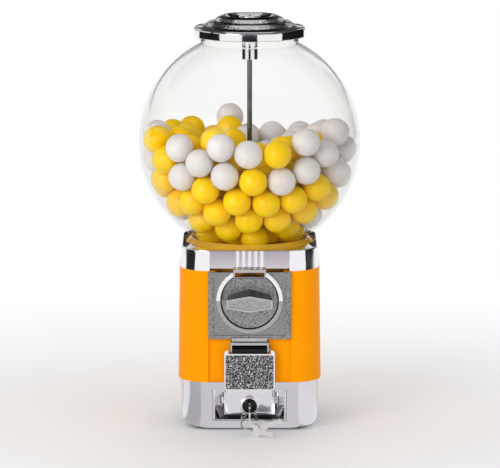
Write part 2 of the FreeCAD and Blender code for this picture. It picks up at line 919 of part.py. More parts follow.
def make_hopper():
    """Hopper pan: a deck under the wheel, a trough for the crown gear and a flange."""
    body = new_body("hopper")
    outline = new_sketch(body, "outline", "XZ_Plane")
    inner = S.hopper_deck_radius - S.hopper_skin
    outer = S.hopper_trough + S.hopper_trough_wall
    deck_low = S.hopper_deck - S.hopper_deck_wall
    hole = S.rod_radius + S.rod_gap
    draw_outline(outline, [
        (hole, deck_low),
        (inner, deck_low),
        (inner, S.hopper_low),
        (outer, S.hopper_low),
        (outer, S.collar_low),
        (S.hopper_trough, S.collar_low),
        (S.hopper_trough, S.hopper_low + S.hopper_trough_wall),
        (S.hopper_deck_radius, S.hopper_low + S.hopper_trough_wall),
        (S.hopper_deck_radius, S.hopper_deck),
        (hole, S.hopper_deck),
    ])
    revolve(body, outline)
    flange = new_sketch(body, "flange", level=S.collar_low - S.hopper_flange_wall)
    draw_rounded_square(flange, S.hopper_flange_half, S.hopper_flange_corner)
    draw_circle(flange, 0, 0, S.hopper_trough + S.hopper_trough_wall / 2)
    pad(body, flange, S.hopper_flange_wall)
    spout = new_sketch(body, "spout", level=S.hopper_low)
    draw_circle(spout, S.pocket_circle, 0, S.outlet_radius + S.outlet_wall)
    pad(body, spout, deck_low - S.hopper_low + S.outlet_wall)
    outlet = new_sketch(body, "outlet", level=S.hopper_deck)
    draw_circle(outlet, S.pocket_circle, 0, S.outlet_radius)
    pocket(body, outlet, S.hopper_deck - S.hopper_low)
    bay = new_sketch(body, "bay", "XZ_Plane", level=S.panel_reach)
    flank = S.panel_half + S.body_wall + S.hood_gap
    draw_rectangle(bay, -flank, S.hopper_low - 1, flank, S.collar_low + 1)
    pocket(body, bay, S.panel_reach - S.hopper_deck_radius - S.hopper_skin / 4)
    window = new_sketch(body, "window", "XZ_Plane", level=S.panel_reach)
    window_half = S.tongue_half + S.hopper_skin
    draw_rectangle(window, -window_half, S.hopper_low - 1, window_half, deck_low)
    pocket(body, window, S.panel_reach - S.back_plate + S.hopper_skin)
    screw_holes(body, S.collar_low, S.hopper_flange_wall)


def screw_spots():
    """Corners at which the flange is screwed down."""
    return [(x * S.screw_reach, y * S.screw_reach) for x in (-1, 1) for y in (-1, 1)]


def screw_holes(body, level, depth):
    """Four screw holes in a flange that ends at a level."""
    sketch = new_sketch(body, "screw_holes", level=level)
    for across, along in screw_spots():
        draw_circle(sketch, across, along, S.screw_radius)
    pocket(body, sketch, depth)


def make_flange_screws():
    """Pan-head screws that hold the hopper flange on the body's ledge."""
    screws = []
    for index, (across, along) in enumerate(screw_spots()):
        head_spot = (across, along, S.collar_low)
        head = cylinder(f"ScrewHead{index}", S.screw_head, S.screw_head_height, head_spot)
        shank_spot = (across, along, S.collar_low - S.screw_length)
        shank_length = S.screw_length + S.screw_head_height / 2
        shank = cylinder(f"ScrewShank{index}", S.screw_radius, shank_length, shank_spot)
        screws.append(fuse(f"Screw{index}", [head, shank]))
    group("flange_screws", screws)


def make_ball_wheel():
    """Six-pocket wheel that carries gumballs to the outlet, and the bush it turns on."""
    body = new_body("ball_wheel")
    disc = new_sketch(body, "disc", level=S.wheel_low)
    draw_circle(disc, 0, 0, S.wheel_radius)
    draw_circle(disc, 0, 0, S.bush_radius + S.bush_gap)
    pad(body, disc, S.wheel_top - S.wheel_low)
    round_pocket = new_sketch(body, "pocket", level=S.wheel_top)
    start = math.radians(180 / DIMENSIONS["pocket_count"])
    draw_circle(round_pocket, S.pocket_circle * math.cos(start), S.pocket_circle * math.sin(start),
                S.pocket_radius)
    hole = pocket(body, round_pocket, S.wheel_top - S.wheel_low)
    polar_pattern(body, hole, round_pocket, S.pocket_count)
    top = DIMENSIONS["wheel_top"]
    rim = DIMENSIONS["pocket_radius"]
    chamfer(body, S.pocket_chamfer, lambda middle, edge: abs(middle.z - top) < 0.1
            and abs(edge.Length - 2 * math.pi * rim) < 0.5)
    turned("wheel_bush", [
        (S.rod_radius, S.hopper_deck),
        (S.bush_radius, S.hopper_deck),
        (S.bush_radius, S.cover_low),
        (S.rod_radius, S.cover_low),
    ])
    make_crown_gear()
    make_outlet_cover()


def make_crown_gear():
    """Ring under the wheel whose teeth point down to the drive pinion."""
    body = new_body("crown_gear")
    ring = new_sketch(body, "ring", level=S.crown_root)
    draw_circle(ring, 0, 0, S.crown_inner + S.crown_width)
    draw_circle(ring, 0, 0, S.crown_inner)
    pad(body, ring, S.wheel_low - S.crown_root)
    profile = new_sketch(body, "tooth", "XZ_Plane", level=S.crown_inner)
    draw_outline(profile, [
        (-S.crown_tooth_tip / 2, S.crown_tip),
        (S.crown_tooth_tip / 2, S.crown_tip),
        (S.crown_tooth_root / 2, S.crown_root + S.pin_gap),
        (-S.crown_tooth_root / 2, S.crown_root + S.pin_gap),
    ])
    tooth = pad(body, profile, S.crown_width)
    polar_pattern(body, tooth, ring, S.crown_teeth)
    half_pitch = 180 / DIMENSIONS["crown_teeth"]
    body.Placement = FreeCAD.Placement(Vector(), FreeCAD.Rotation(Vector(0, 0, 1), half_pitch))


def make_outlet_cover():
    """Plate over the outlet that keeps the pile off the pocket above it."""
    body = new_body("outlet_cover")
    plate = new_sketch(body, "plate", level=S.cover_low)
    half = math.radians(DIMENSIONS["cover_half_angle"])
    along = math.sin(half)
    across = math.cos(half)
    draw_outline(plate, [
        (0, -S.cover_hub / 2),
        (S.cover_reach * across, -S.cover_reach * along),
        (S.cover_reach * across, S.cover_reach * along),
        (0, S.cover_hub / 2),
    ], {1: (S.cover_reach, 1)})
    pad(body, plate, S.cover_wall)
    hub = new_sketch(body, "hub", level=S.cover_low)
    draw_circle(hub, 0, 0, S.cover_hub)
    pad(body, hub, S.cover_hub_height)
    bore = new_sketch(body, "bore", level=S.cover_low + S.cover_hub_height)
    draw_circle(bore, 0, 0, S.rod_radius)
    pocket(body, bore, S.cover_hub_height)


# Body shell and what it holds


def make_body_shell():
    """Orange shell with a flat recessed front panel, a ledge above and a flange below."""
    body = new_body("body_shell")
    height = S.collar_low - S.body_low
    plan = new_sketch(body, "plan", level=S.body_low)
    draw_rounded_square(plan, S.body_half, S.body_corner)
    pad(body, plan, height, -S.body_taper)
    inner_half = S.body_half - S.body_wall
    inner_corner = S.body_corner - S.body_wall
    inside = new_sketch(body, "inside", level=S.body_low)
    draw_rounded_square(inside, inner_half, inner_corner)
    pocket(body, inside, height, upward=True, taper=-S.body_taper)
    backing = new_sketch(body, "panel_backing", level=S.body_low)
    flank = S.panel_half + S.body_wall
    draw_rectangle(backing, -flank, -S.panel_reach - S.body_wall / 4, flank, S.panel_wall - S.panel_reach)
    pad(body, backing, height)
    recess = new_sketch(body, "panel_recess", level=S.body_low)
    draw_rectangle(recess, -S.panel_half, -S.body_half - 1, S.panel_half, -S.panel_reach)
    pocket(body, recess, height, upward=True)
    ledge_low = S.collar_low - S.hopper_flange_wall - S.ledge_wall
    add_ledge(body, "ledge", ledge_low, S.body_half - S.body_wall * 1.7, S.ledge_wall)
    add_ledge(body, "foot", S.body_low + S.floor_plate, S.body_half - S.body_wall, S.foot_wall)
    screw_holes(body, S.collar_low - S.hopper_flange_wall, S.ledge_wall)
    front = new_sketch(body, "front_openings", "XZ_Plane", level=S.panel_reach + S.body_wall)
    draw_rectangle(front, -S.mech_half, S.mech_low, S.mech_half, S.collar_low + 1)
    draw_rectangle(front, -S.chute_mouth_half, S.chute_mouth_low, S.chute_mouth_half, S.chute_mouth_high)
    pocket(body, front, S.panel_reach + S.body_wall - S.hopper_deck_radius)


def add_ledge(body, name, level, half, wall):
    """Inward ledge round the shell at a level."""
    sketch = new_sketch(body, name, level=level)
    draw_rounded_square(sketch, half, S.body_corner - S.body_wall)
    draw_circle(sketch, 0, 0, S.ledge_half)
    pad(body, sketch, wall)


def make_floor_plate():
    """Sheet between body and base with the keeper that the drawer's cam catches."""
    body = new_body("floor_plate")
    plan = new_sketch(body, "plan", level=S.body_low)
    draw_rounded_square(plan, S.floor_plate_half, S.body_corner - S.body_wall)
    draw_circle(plan, 0, 0, S.rod_radius + S.rod_gap)
    guide_front = S.guide_low_back + S.guide_depth
    draw_rectangle(plan, S.guide_left, -guide_front, S.guide_right, -S.guide_low_back)
    pad(body, plan, S.floor_plate)
    step = new_sketch(body, "panel_step", level=S.body_low + S.floor_plate)
    flank = S.panel_half + S.body_wall + S.hood_gap
    back = S.panel_wall - S.panel_reach + S.hood_gap
    draw_rectangle(step, -flank, -S.body_half, flank, back)
    pocket(body, step, S.floor_plate)
    tab = new_sketch(body, "keeper", level=S.keeper_low)
    draw_rectangle(tab, -S.keeper_half, -S.keeper_reach - S.keeper_wall, S.keeper_half, -S.keeper_reach)
    pad(body, tab, S.body_low - S.keeper_low + S.floor_plate / 2)


def make_ball_chute():
    """Drop tube under the outlet and a sloping trough to the mouth in the front panel."""
    outer = S.chute_inner + S.chute_skin
    spot = (S.pocket_circle, 0, S.chute_low)
    tube = cylinder("ChuteTube", outer, S.hopper_low - S.chute_low, spot)
    floor = S.chute_low + S.chute_floor
    clear = (S.pocket_circle, 0, floor)
    tube_space = cylinder("ChuteTubeSpace", S.chute_inner, S.hopper_low - floor + 1, clear)
    reach = DIMENSIONS["panel_reach"] - DIMENSIONS["panel_wall"]
    side = DIMENSIONS["pocket_circle"]
    run = math.hypot(reach, side)
    drop = DIMENSIONS["chute_low"] + DIMENSIONS["chute_floor"] - DIMENSIONS["chute_exit"]
    heading = FreeCAD.Rotation(Vector(0, 0, 1), -math.degrees(math.atan2(side, reach)))
    slope = FreeCAD.Rotation(Vector(1, 0, 0), math.degrees(math.atan2(drop, run)))
    turn = heading.multiply(slope)
    length = Size(run * 1.5, f"({run * 1.5})")
    trough = trough_box("ChuteTrough", outer, length, S.chute_side + S.chute_floor, -S.chute_floor, turn, floor)
    space = trough_box("ChuteSpace", S.chute_inner, length, S.chute_side * 2, 0, turn, floor)
    room = box("ChuteRoom", (-S.body_half, S.panel_wall - S.panel_reach, S.body_low),
               (S.body_half, S.body_half, S.hopper_low))
    inside = DOC.addObject("Part::Common", "ChuteTroughInside")
    inside.Base = trough
    inside.Tool = room
    shell = fuse("ChuteOuter", [tube, inside])
    keep("ball_chute", cut("Chute", shell, fuse("ChuteInner", [tube_space, space])))


def trough_box(name, half, length, height, lift, turn, floor):
    """Box that runs down the chute from under the outlet, centred on its line."""
    item = DOC.addObject("Part::Box", name)
    bind(item, "Length", half * 2)
    bind(item, "Width", length)
    bind(item, "Height", height)
    corner = turn.multVec(Vector(-half.value, -length.value, size_of(lift).value))
    item.Placement = FreeCAD.Placement(corner + Vector(DIMENSIONS["pocket_circle"], 0, floor.value), turn)
    return item


def make_coin_guide():
    """Funnel and leaning duct that lead spent coins to the drawer."""
    body = new_body("coin_guide")
    levels = [
        ("top", S.guide_top, S.guide_top_right, S.guide_top_back, S.panel_reach - S.panel_wall),
        ("waist", S.guide_waist, S.guide_right, S.guide_waist_back, S.panel_reach - S.panel_wall),
        ("low", S.guide_low, S.guide_right, S.guide_low_back, S.guide_low_back + S.guide_depth),
    ]
    for kind, skin in (("AdditiveLoft", 0), ("SubtractiveLoft", S.guide_skin)):
        sketches = []
        for name, level, right, back, front in levels:
            sketch = new_sketch(body, f"{name}_{kind}", level=level)
            draw_rectangle(sketch, S.guide_left + skin, -front + skin, right - skin, -back - skin)
            sketches.append(sketch)
        loft(body, sketches, kind)


# Coin mechanism


def make_face_plate():
    """Cast plate with a raised frame, a two-level ring and the coin window."""
    body = new_body("coin_face_plate", FORWARD, (0, 0, S.knob_height))
    field = S.panel_reach + S.plate_thick
    sheet = new_sketch(body, "sheet", level=S.panel_reach)
    draw_rectangle(sheet, -S.plate_half, S.plate_low, S.plate_half, S.plate_high)
    pad(body, sheet, S.plate_thick)
    frame = new_sketch(body, "frame", level=field)
    draw_rectangle(frame, -S.plate_half, S.plate_low, S.plate_half, S.plate_high)
    inner = S.plate_half - S.frame_side
    draw_rectangle(frame, -inner, S.plate_low + S.frame_low, inner, S.plate_high - S.frame_low / 2)
    pad(body, frame, S.plate_frame)
    ring = new_sketch(body, "ring", level=field)
    draw_circle(ring, 0, 0, S.ring_outer)
    pad(body, ring, S.ring_height + S.ring_step)
    lower = new_sketch(body, "lower_half", level=field + S.ring_height + S.ring_step)
    draw_rectangle(lower, -S.plate_half, -S.plate_half, S.plate_half, 0)
    pocket(body, lower, S.ring_step)
    hole = new_sketch(body, "hole", level=field + S.ring_height + S.ring_step)
    draw_circle(hole, 0, 0, S.ring_inner)
    pocket(body, hole, S.hood_front - S.panel_reach)
    seat = new_sketch(body, "hood_seat", level=S.hood_front)
    room = S.hood_half + S.hood_gap
    draw_rectangle(seat, -room, S.hood_low - S.hood_gap, room, S.ring_outer + 1)
    pocket(body, seat, S.hood_front - field)
    window = new_sketch(body, "window", level=S.hood_front)
    draw_rectangle(window, -S.slot_half, S.window_low, S.slot_half, S.ring_outer + 1)
    pocket(body, window, S.hood_front - S.panel_reach)


def make_slot_block():
    """Block with the coin slot, bridging the top of the dial."""
    body = new_body("coin_slot_block", FORWARD, (0, 0, S.knob_height))
    field = S.panel_reach + S.plate_thick
    block = new_sketch(body, "block", level=field)
    draw_rectangle(block, -S.hood_half, S.hood_low, S.hood_half, S.hood_high)
    pad(body, block, S.hood_front - field)
    relief = new_sketch(body, "relief", level=S.dial_front + S.hood_gap * 2)
    draw_circle(relief, 0, 0, S.ring_inner)
    pocket(body, relief, S.dial_front + S.hood_gap * 2 - field)
    front = DIMENSIONS["hood_front"]
    chamfer(body, S.hood_chamfer, lambda middle, edge: abs(middle.z - front) < 0.1)
    slot = new_sketch(body, "slot", level=S.hood_front)
    draw_rectangle(slot, -S.slot_half, S.slot_low, S.slot_half, S.slot_high)
    pocket(body, slot, S.hood_front - field)


def grip_corners(half, peak, end):
    """Six corners of the grip's outline."""
    return [(-half, -end), (0, -peak), (half, -end), (half, end), (0, peak), (-half, end)]


def make_knob():
    """Dial that turns inside the ring, with a tapered six-sided grip."""
    body = new_body("knob", FORWARD, (0, 0, S.knob_height))
    hub = new_sketch(body, "hub", level=S.coin_wheel_front)
    draw_circle(hub, 0, 0, S.hub_radius)
    pad(body, hub, S.dial_front - S.coin_wheel_front)
    dial = new_sketch(body, "dial", level=S.dial_back)
    draw_circle(dial, 0, 0, S.dial_radius)
    pad(body, dial, S.dial_front - S.dial_back)
    rim = DIMENSIONS["dial_radius"]
    chamfer(body, S.dial_chamfer, lambda middle, edge: edge.Length > 6 * rim
            and max(vertex.Z for vertex in edge.Vertexes) > DIMENSIONS["dial_back"] + 1)
    root = new_sketch(body, "grip_root", level=S.dial_front)
    draw_outline(root, grip_corners(S.grip_root_half, S.grip_root_peak, S.grip_root_end))
    face = new_sketch(body, "grip_face", level=S.grip_front)
    draw_outline(face, grip_corners(S.grip_half, S.grip_peak, S.grip_end))
    loft(body, [root, face])
    recess = new_sketch(body, "grip_recess", level=S.grip_front)
    draw_outline(recess, grip_corners(S.grip_half - S.grip_inset, S.grip_peak - S.grip_inset,
                                      S.grip_end - S.grip_end_inset))
    pocket(body, recess, S.grip_recess)
    notch = new_sketch(body, "coin_notch", level=S.dial_front)
    draw_rectangle(notch, -S.slot_half - S.hood_gap, S.slot_low - S.hood_gap, S.slot_half + S.hood_gap,
                   S.dial_radius + 1)
    pocket(body, notch, S.dial_front - S.dial_back)
    bore = new_sketch(body, "bore", level=S.spindle_front)
    draw_circle(bore, 0, 0, S.spindle_radius)
    pocket(body, bore, S.spindle_front - S.coin_wheel_front)


def make_drive():
    """Spindle with the coin wheel, ratchet, pinion and clip that turn with the knob."""
    axis = (0, 0, S.knob_height)
    groove_front = S.clip_back + S.clip_wall
    turned("spindle", [
        (0, S.spindle_back),
        (S.spindle_radius, S.spindle_back),
        (S.spindle_radius, S.clip_back),
        (S.clip_groove, S.clip_back),
        (S.clip_groove, groove_front),
        (S.spindle_radius, groove_front),
        (S.spindle_radius, S.spindle_front),
        (0, S.spindle_front),
    ], turn=FORWARD, spot=axis)
    clip = new_body("spindle_clip", FORWARD, axis)
    ring = new_sketch(clip, "ring", level=S.clip_back)
    draw_circle(ring, 0, 0, S.clip_radius)
    draw_circle(ring, 0, 0, S.clip_groove)
    pad(clip, ring, S.clip_wall)
    gap = new_sketch(clip, "gap", level=S.clip_back + S.clip_wall)
    draw_rectangle(gap, -S.clip_groove / 2, 0, S.clip_groove / 2, S.clip_radius + 1)
    pocket(clip, gap, S.clip_wall)
    make_coin_wheel(axis)
    make_ratchet(axis)
    make_pinion(axis)


def make_coin_wheel(axis):
    """Wheel with the recess that carries one coin."""
    body = new_body("coin_wheel", FORWARD, axis)
    disc = new_sketch(body, "disc", level=S.coin_wheel_back)
    draw_circle(disc, 0, 0, S.coin_wheel_radius)
    draw_circle(disc, 0, 0, S.spindle_radius)
    pad(body, disc, S.coin_wheel_front - S.coin_wheel_back)
    coin = new_sketch(body, "coin", level=S.coin_wheel_front)
    draw_circle(coin, 0, S.coin_offset + S.coin_depth, S.coin_radius)
    pocket(body, coin, S.coin_depth)


def make_ratchet(axis):
    """Saw-toothed wheel that stops the knob from turning back."""
    body = new_body("ratchet_wheel", FORWARD, axis)
    disc = new_sketch(body, "disc", level=S.ratchet_back)
    draw_circle(disc, 0, 0, S.ratchet_root)
    draw_circle(disc, 0, 0, S.spindle_radius)
    pad(body, disc, S.coin_wheel_back - S.ratchet_back)
    tooth = new_sketch(body, "tooth", level=S.ratchet_back)
    step = 2 * math.pi / DIMENSIONS["ratchet_teeth"]
    deep = S.ratchet_root - 1
    draw_outline(tooth, [
        (0, deep),
        (0, S.ratchet_tip),
        (-S.ratchet_root * math.sin(step), S.ratchet_root * math.cos(step)),
        (-deep * math.sin(step), deep * math.cos(step)),
    ])
    saw = pad(body, tooth, S.coin_wheel_back - S.ratchet_back)
    polar_pattern(body, saw, tooth, S.ratchet_teeth)


def make_pinion(axis):
    """Ten-tooth pinion that drives the crown gear, with a hub at each end."""
    body = new_body("drive_pinion", FORWARD, axis)
    back = S.back_plate + S.back_plate_wall + S.runner_gap
    hub = new_sketch(body, "hub", level=back)
    draw_circle(hub, 0, 0, S.pinion_hub)
    draw_circle(hub, 0, 0, S.spindle_radius)
    pad(body, hub, S.ratchet_back - back)
    disc = new_sketch(body, "disc", level=S.pinion_back)
    draw_circle(disc, 0, 0, S.pinion_root)
    draw_circle(disc, 0, 0, S.spindle_radius)
    pad(body, disc, S.pinion_front - S.pinion_back)
    tooth = new_sketch(body, "tooth", level=S.pinion_back)
    deep = S.pinion_root - S.hopper_skin
    draw_outline(tooth, [
        (S.pinion_tooth_root / 2, deep),
        (S.pinion_tooth_root / 2, S.pinion_root),
        (S.pinion_tooth_pitch / 2, S.pinion_pitch),
        (S.pinion_tooth_tip / 2, S.pinion_tip),
        (-S.pinion_tooth_tip / 2, S.pinion_tip),
        (-S.pinion_tooth_pitch / 2, S.pinion_pitch),
        (-S.pinion_tooth_root / 2, S.pinion_root),
        (-S.pinion_tooth_root / 2, deep),
    ])
    one = pad(body, tooth, S.pinion_front - S.pinion_back)
    polar_pattern(body, one, tooth, S.pinion_teeth)


def make_mech_frame():
    """Back plate, posts and leaf spring that stay with the face plate."""
    axis = (0, 0, S.knob_height)
    plate = new_body("mech_back_plate", FORWARD, axis)
    sheet = new_sketch(plate, "sheet", level=S.back_plate)
    draw_outline(sheet, [
        (-S.back_plate_half, S.back_plate_low),
        (S.back_plate_half, S.back_plate_low),
        (S.back_plate_half, S.back_plate_high),
        (S.tongue_half, S.back_plate_high),
        (S.tongue_half, S.tongue_high),
        (-S.tongue_half, S.tongue_high),
        (-S.tongue_half, S.back_plate_high),
        (-S.back_plate_half, S.back_plate_high),
    ])
    draw_circle(sheet, 0, 0, S.spindle_radius + S.plug_gap)
    pad(plate, sheet, S.back_plate_wall)
    start = S.back_plate + S.back_plate_wall
    posts = []
    for side in (-1, 1):
        for across, up in ((S.post_upper_x, S.post_upper_y), (S.post_lower_x, S.post_lower_y)):
            spot = (across * side, -start, S.knob_height + up)
            posts.append(cylinder(f"Post{len(posts)}", S.post_radius, S.panel_reach - start, spot, FORWARD))
    group("mech_posts", posts)
    spring = new_body("ratchet_spring", FORWARD, axis)
    leaf = new_sketch(spring, "leaf", level=S.ratchet_back + S.spring_wall / 2)
    foot_x = S.post_lower_x - S.post_radius
    foot_y = S.post_lower_y - S.post_radius / 2
    tip_x = S.ratchet_root * 0.26
    tip_y = -S.ratchet_root - S.spring_wall * 2
    draw_outline(leaf, [
        (foot_x, foot_y),
        (foot_x, foot_y + S.post_radius),
        (tip_x, tip_y),
        (tip_x, tip_y - S.spring_wall),
        (foot_x - S.post_radius, foot_y),
    ])
    pad(spring, leaf, S.spring_width)


# Chute door


def make_door():
    """Flap with a raised rim and a knuckle, hung on a pin under the face plate."""
    spot = (0, -S.door_axis_reach, S.door_axis)
    door = new_body("chute_door", FORWARD, spot)
    half_thick = S.door_thick / 2
    leaf = new_sketch(door, "leaf", level=-half_thick)
    draw_rounded(leaf, -S.door_half, S.door_low, S.door_half, S.door_high, S.door_corner)
    pad(door, leaf, S.door_thick + S.door_rim_height)
    field = new_sketch(door, "field", level=half_thick + S.door_rim_height)
    draw_rounded(field, S.door_rim - S.door_half, S.door_low + S.door_rim, S.door_half - S.door_rim,
                 S.ear_slot_low - S.door_rim, S.door_corner - S.door_rim)
    pocket(door, field, S.door_rim_height)
    slots = new_sketch(door, "ear_slots", level=half_thick + S.door_rim_height)
    for near, far in ((-S.ear_slot, -S.knuckle_half), (S.knuckle_half, S.ear_slot)):
        draw_rectangle(slots, near, S.ear_slot_low, far, S.door_corner)
    pocket(door, slots, S.door_thick + S.door_rim_height)
    knuckle = new_sketch(door, "knuckle", "YZ_Plane", level=-S.knuckle_half)
    draw_circle(knuckle, 0, 0, S.knuckle_radius)
    pad(door, knuckle, S.knuckle_half * 2)
    bore = new_sketch(door, "pin_bore", "YZ_Plane", level=S.knuckle_half)
    draw_circle(bore, 0, 0, S.pin_radius + S.pin_gap)
    pocket(door, bore, S.knuckle_half * 2)
    make_hinge(spot)


def make_hinge(spot):
    """Bracket with two ears and the pin through them."""
    bracket = new_body("door_hinge_bracket", FORWARD, spot)
    wall = S.panel_reach - S.door_axis_reach
    bar = new_sketch(bracket, "bar", level=wall)
    draw_rectangle(bar, -S.ear_outer, S.bar_low, S.ear_outer, S.bar_high)
    pad(bracket, bar, S.knuckle_radius - wall)
    tab = new_sketch(bracket, "tab", level=S.panel_reach + S.plate_thick + S.plate_frame - S.door_axis_reach)
    draw_rectangle(tab, -S.tab_half, S.bar_high - S.pin_gap, S.tab_half, S.tab_high)
    pad(bracket, tab, S.tab_thick)
    for name, side in (("left_ear", -S.ear_outer), ("right_ear", S.ear_inner)):
        ear = new_sketch(bracket, name, "YZ_Plane", level=side)
        radius = S.knuckle_radius
        top = S.bar_low + S.pin_gap
        draw_outline(ear, [(top, -radius), (top, radius), (0, radius), (-radius, 0), (0, -radius)],
                     {2: (radius, 1), 3: (radius, 1)})
        pad(bracket, ear, S.ear_outer - S.ear_inner)
    bore = new_sketch(bracket, "pin_bore", "YZ_Plane", level=S.ear_outer)
    draw_circle(bore, 0, 0, S.pin_radius)
    pocket(bracket, bore, S.ear_outer * 2)
    turned("door_hinge_pin", [
        (0, -S.ear_outer),
        (S.pin_radius, -S.ear_outer),
        (S.pin_radius, S.ear_outer),
        (S.pin_head, S.ear_outer),
        (S.pin_head, S.ear_outer + S.pin_radius),
        (0, S.ear_outer + S.pin_radius),
    ], turn=SIDEWAYS, spot=spot)


# Base, coin drawer and lock


def make_base():
    """Cast base with rounded lower edges, a drawer mouth and a boss for the rod."""
    body = new_body("base_shell")
    height = S.body_low - S.base_low
    plan = new_sketch(body, "plan", level=S.base_low)
    draw_rounded_square(plan, S.base_half, S.base_corner)
    pad(body, plan, height, S.base_taper)
    low = DIMENSIONS["base_low"]
    fillet(body, S.base_edge, lambda middle, edge: abs(middle.z - low) < 0.01)
    depth = height - S.base_floor
    spread = S.base_half + depth * math.tan(math.radians(DIMENSIONS["base_taper"])) - S.base_wall
    inside = new_sketch(body, "inside", level=S.body_low)
    draw_rounded_square(inside, spread, S.base_corner - S.base_wall)
    pocket(body, inside, depth, taper=-S.base_taper)
    mouth = new_sketch(body, "drawer_mouth", "XZ_Plane", level=S.body_half)
    draw_rectangle(mouth, -S.drawer_mouth_half, S.drawer_mouth_low, S.drawer_mouth_half, S.drawer_mouth_high)
    pocket(body, mouth, S.body_half - S.dish_floor)
    boss = new_sketch(body, "boss", level=S.base_low)
    draw_circle(boss, 0, 0, S.base_boss)
    pad(body, boss, S.base_boss_top - S.base_low)
    below = new_sketch(body, "boss_pocket", level=S.base_low)
    draw_circle(below, 0, 0, S.base_boss_pocket)
    pocket(body, below, S.base_boss_ceiling - S.base_low, upward=True)
    hole = new_sketch(body, "rod_hole", level=S.base_boss_top)
    draw_circle(hole, 0, 0, S.rod_radius + S.rod_gap)
    pocket(body, hole, S.base_boss_top - S.base_boss_ceiling)
    recess = new_sketch(body, "foot_recesses", level=S.base_low)
    feet = []
    for side in (-1, 1):
        for end in (-1, 1):
            draw_circle(recess, S.foot_place * side, S.foot_place * end, S.foot_radius)
            spot = (S.foot_place * side, S.foot_place * end, 0)
            feet.append(cylinder(f"Foot{len(feet)}", S.foot_radius, S.base_low + S.foot_recess, spot))
    pocket(body, recess, S.foot_recess, upward=True)
    group("rubber_feet", feet)


def make_drawer():
    """Tray with its dished front, and the runners that it slides on."""
    front = new_body("coin_drawer_front", FORWARD)
    slab = new_sketch(front, "slab", level=S.drawer_back)
    draw_rectangle(slab, -S.drawer_half, S.drawer_low, S.drawer_half, S.drawer_high)
    pad(front, slab, S.drawer_front - S.drawer_back)
    mouth = new_sketch(front, "dish_mouth", level=S.drawer_front)
    draw_rectangle(mouth, -S.dish_half, S.dish_low, S.dish_half, S.dish_high)
    floor = new_sketch(front, "dish_floor", level=S.dish_floor)
    draw_rectangle(floor, -S.dish_floor_half, S.dish_floor_low, S.dish_floor_half, S.dish_floor_high)
    loft(front, [mouth, floor], "SubtractiveLoft")
    hole = new_sketch(front, "lock_hole", level=S.dish_floor)
    draw_circle(hole, 0, S.lock_height, S.lock_radius)
    pocket(front, hole, S.dish_floor - S.drawer_back)
    tray = new_body("coin_drawer_tray")
    plan = new_sketch(tray, "plan", level=S.tray_low)
    draw_rectangle(plan, -S.tray_half, -S.drawer_back, S.tray_half, -S.tray_back)
    pad(tray, plan, S.tray_high - S.tray_low)
    inside = new_sketch(tray, "inside", level=S.tray_high)
    wall = S.tray_wall
    draw_rectangle(inside, wall - S.tray_half, wall - S.drawer_back, S.tray_half - wall, -S.tray_back - wall)
    pocket(tray, inside, S.tray_high - S.tray_low - wall)
    lock = new_sketch(tray, "lock_hole", "XZ_Plane", level=S.drawer_back)
    draw_circle(lock, 0, S.lock_height, S.lock_radius)
    pocket(tray, lock, wall)
    make_runners()


def make_runners():
    """Two rails on the base floor, each with a lip that guides the tray."""
    rails = []
    floor = S.base_low + S.base_floor
    back = -S.tray_back
    front = -S.drawer_back
    for side in (-1, 1):
        inner = S.runner_half * side
        lip = (S.tray_half + S.runner_gap) * side
        outer = (S.tray_half + S.runner_gap + S.runner_lip) * side
        span = (inner, outer) if side > 0 else (outer, inner)
        lip_span = (lip, outer) if side > 0 else (outer, lip)
        rail = box(f"Rail{side}", (span[0], front, floor), (span[1], back, S.tray_low - S.runner_gap))
        guide = box(f"RailLip{side}", (lip_span[0], front, floor), (lip_span[1], back, S.runner_lip_top))
        rails.append(fuse(f"Runner{side}", [rail, guide]))
    group("drawer_runners", rails)


def make_lock():
    """Cam lock in the drawer front: body, nut, plug and cam."""
    axis = (0, 0, S.lock_height)
    bore = S.plug_radius + S.plug_gap
    edge = S.lid_lock_groove
    turned("lock_body", [
        (bore, S.lock_back),
        (S.lock_radius, S.lock_back),
        (S.lock_radius, S.dish_floor),
        (S.lock_bezel, S.dish_floor),
        (S.lock_bezel, S.lock_bezel_front - edge),
        (S.lock_bezel - edge, S.lock_bezel_front),
        (bore, S.lock_bezel_front),
    ], turn=FORWARD, spot=axis)
    nut_front = S.drawer_back - S.tray_wall
    spot = (0, S.lock_nut_height - nut_front, S.lock_height)
    blank = hexagon("LockNutBlank", S.lock_nut_across, S.lock_nut_height, spot, FORWARD)
    hole = cylinder("LockNutBore", S.lock_radius, S.lock_nut_height, spot, FORWARD)
    keep("lock_nut", cut("LockNut", blank, hole))
    plug = new_body("lock_plug", FORWARD, axis)
    disc = new_sketch(plug, "disc", level=S.plug_back)
    draw_circle(disc, 0, 0, S.plug_radius)
    pad(plug, disc, S.plug_front - S.plug_back)
    slot = new_sketch(plug, "keyway", level=S.plug_front)
    draw_rectangle(slot, -S.keyway_width / 2, -S.keyway_half, S.keyway_width / 2, S.keyway_half)
    pocket(plug, slot, S.keyway_depth)
    cam = new_body("lock_cam", FORWARD, axis)
    lever = new_sketch(cam, "lever", level=S.plug_back - S.cam_wall)
    half = S.cam_half
    far = S.cam_length - half
    draw_outline(lever, [(0, -half), (far, -half), (S.cam_length, 0), (far, half), (0, half), (-half, 0)],
                 {index: (half, 1) for index in (1, 2, 4, 5)})
    pad(cam, lever, S.cam_wall)


# Directions in which the blades of the two spare keys point
FIRST_HEADING = Vector(0.82, -0.56, -0.08)
SECOND_HEADING = Vector(0.93, -0.10, 0.25)


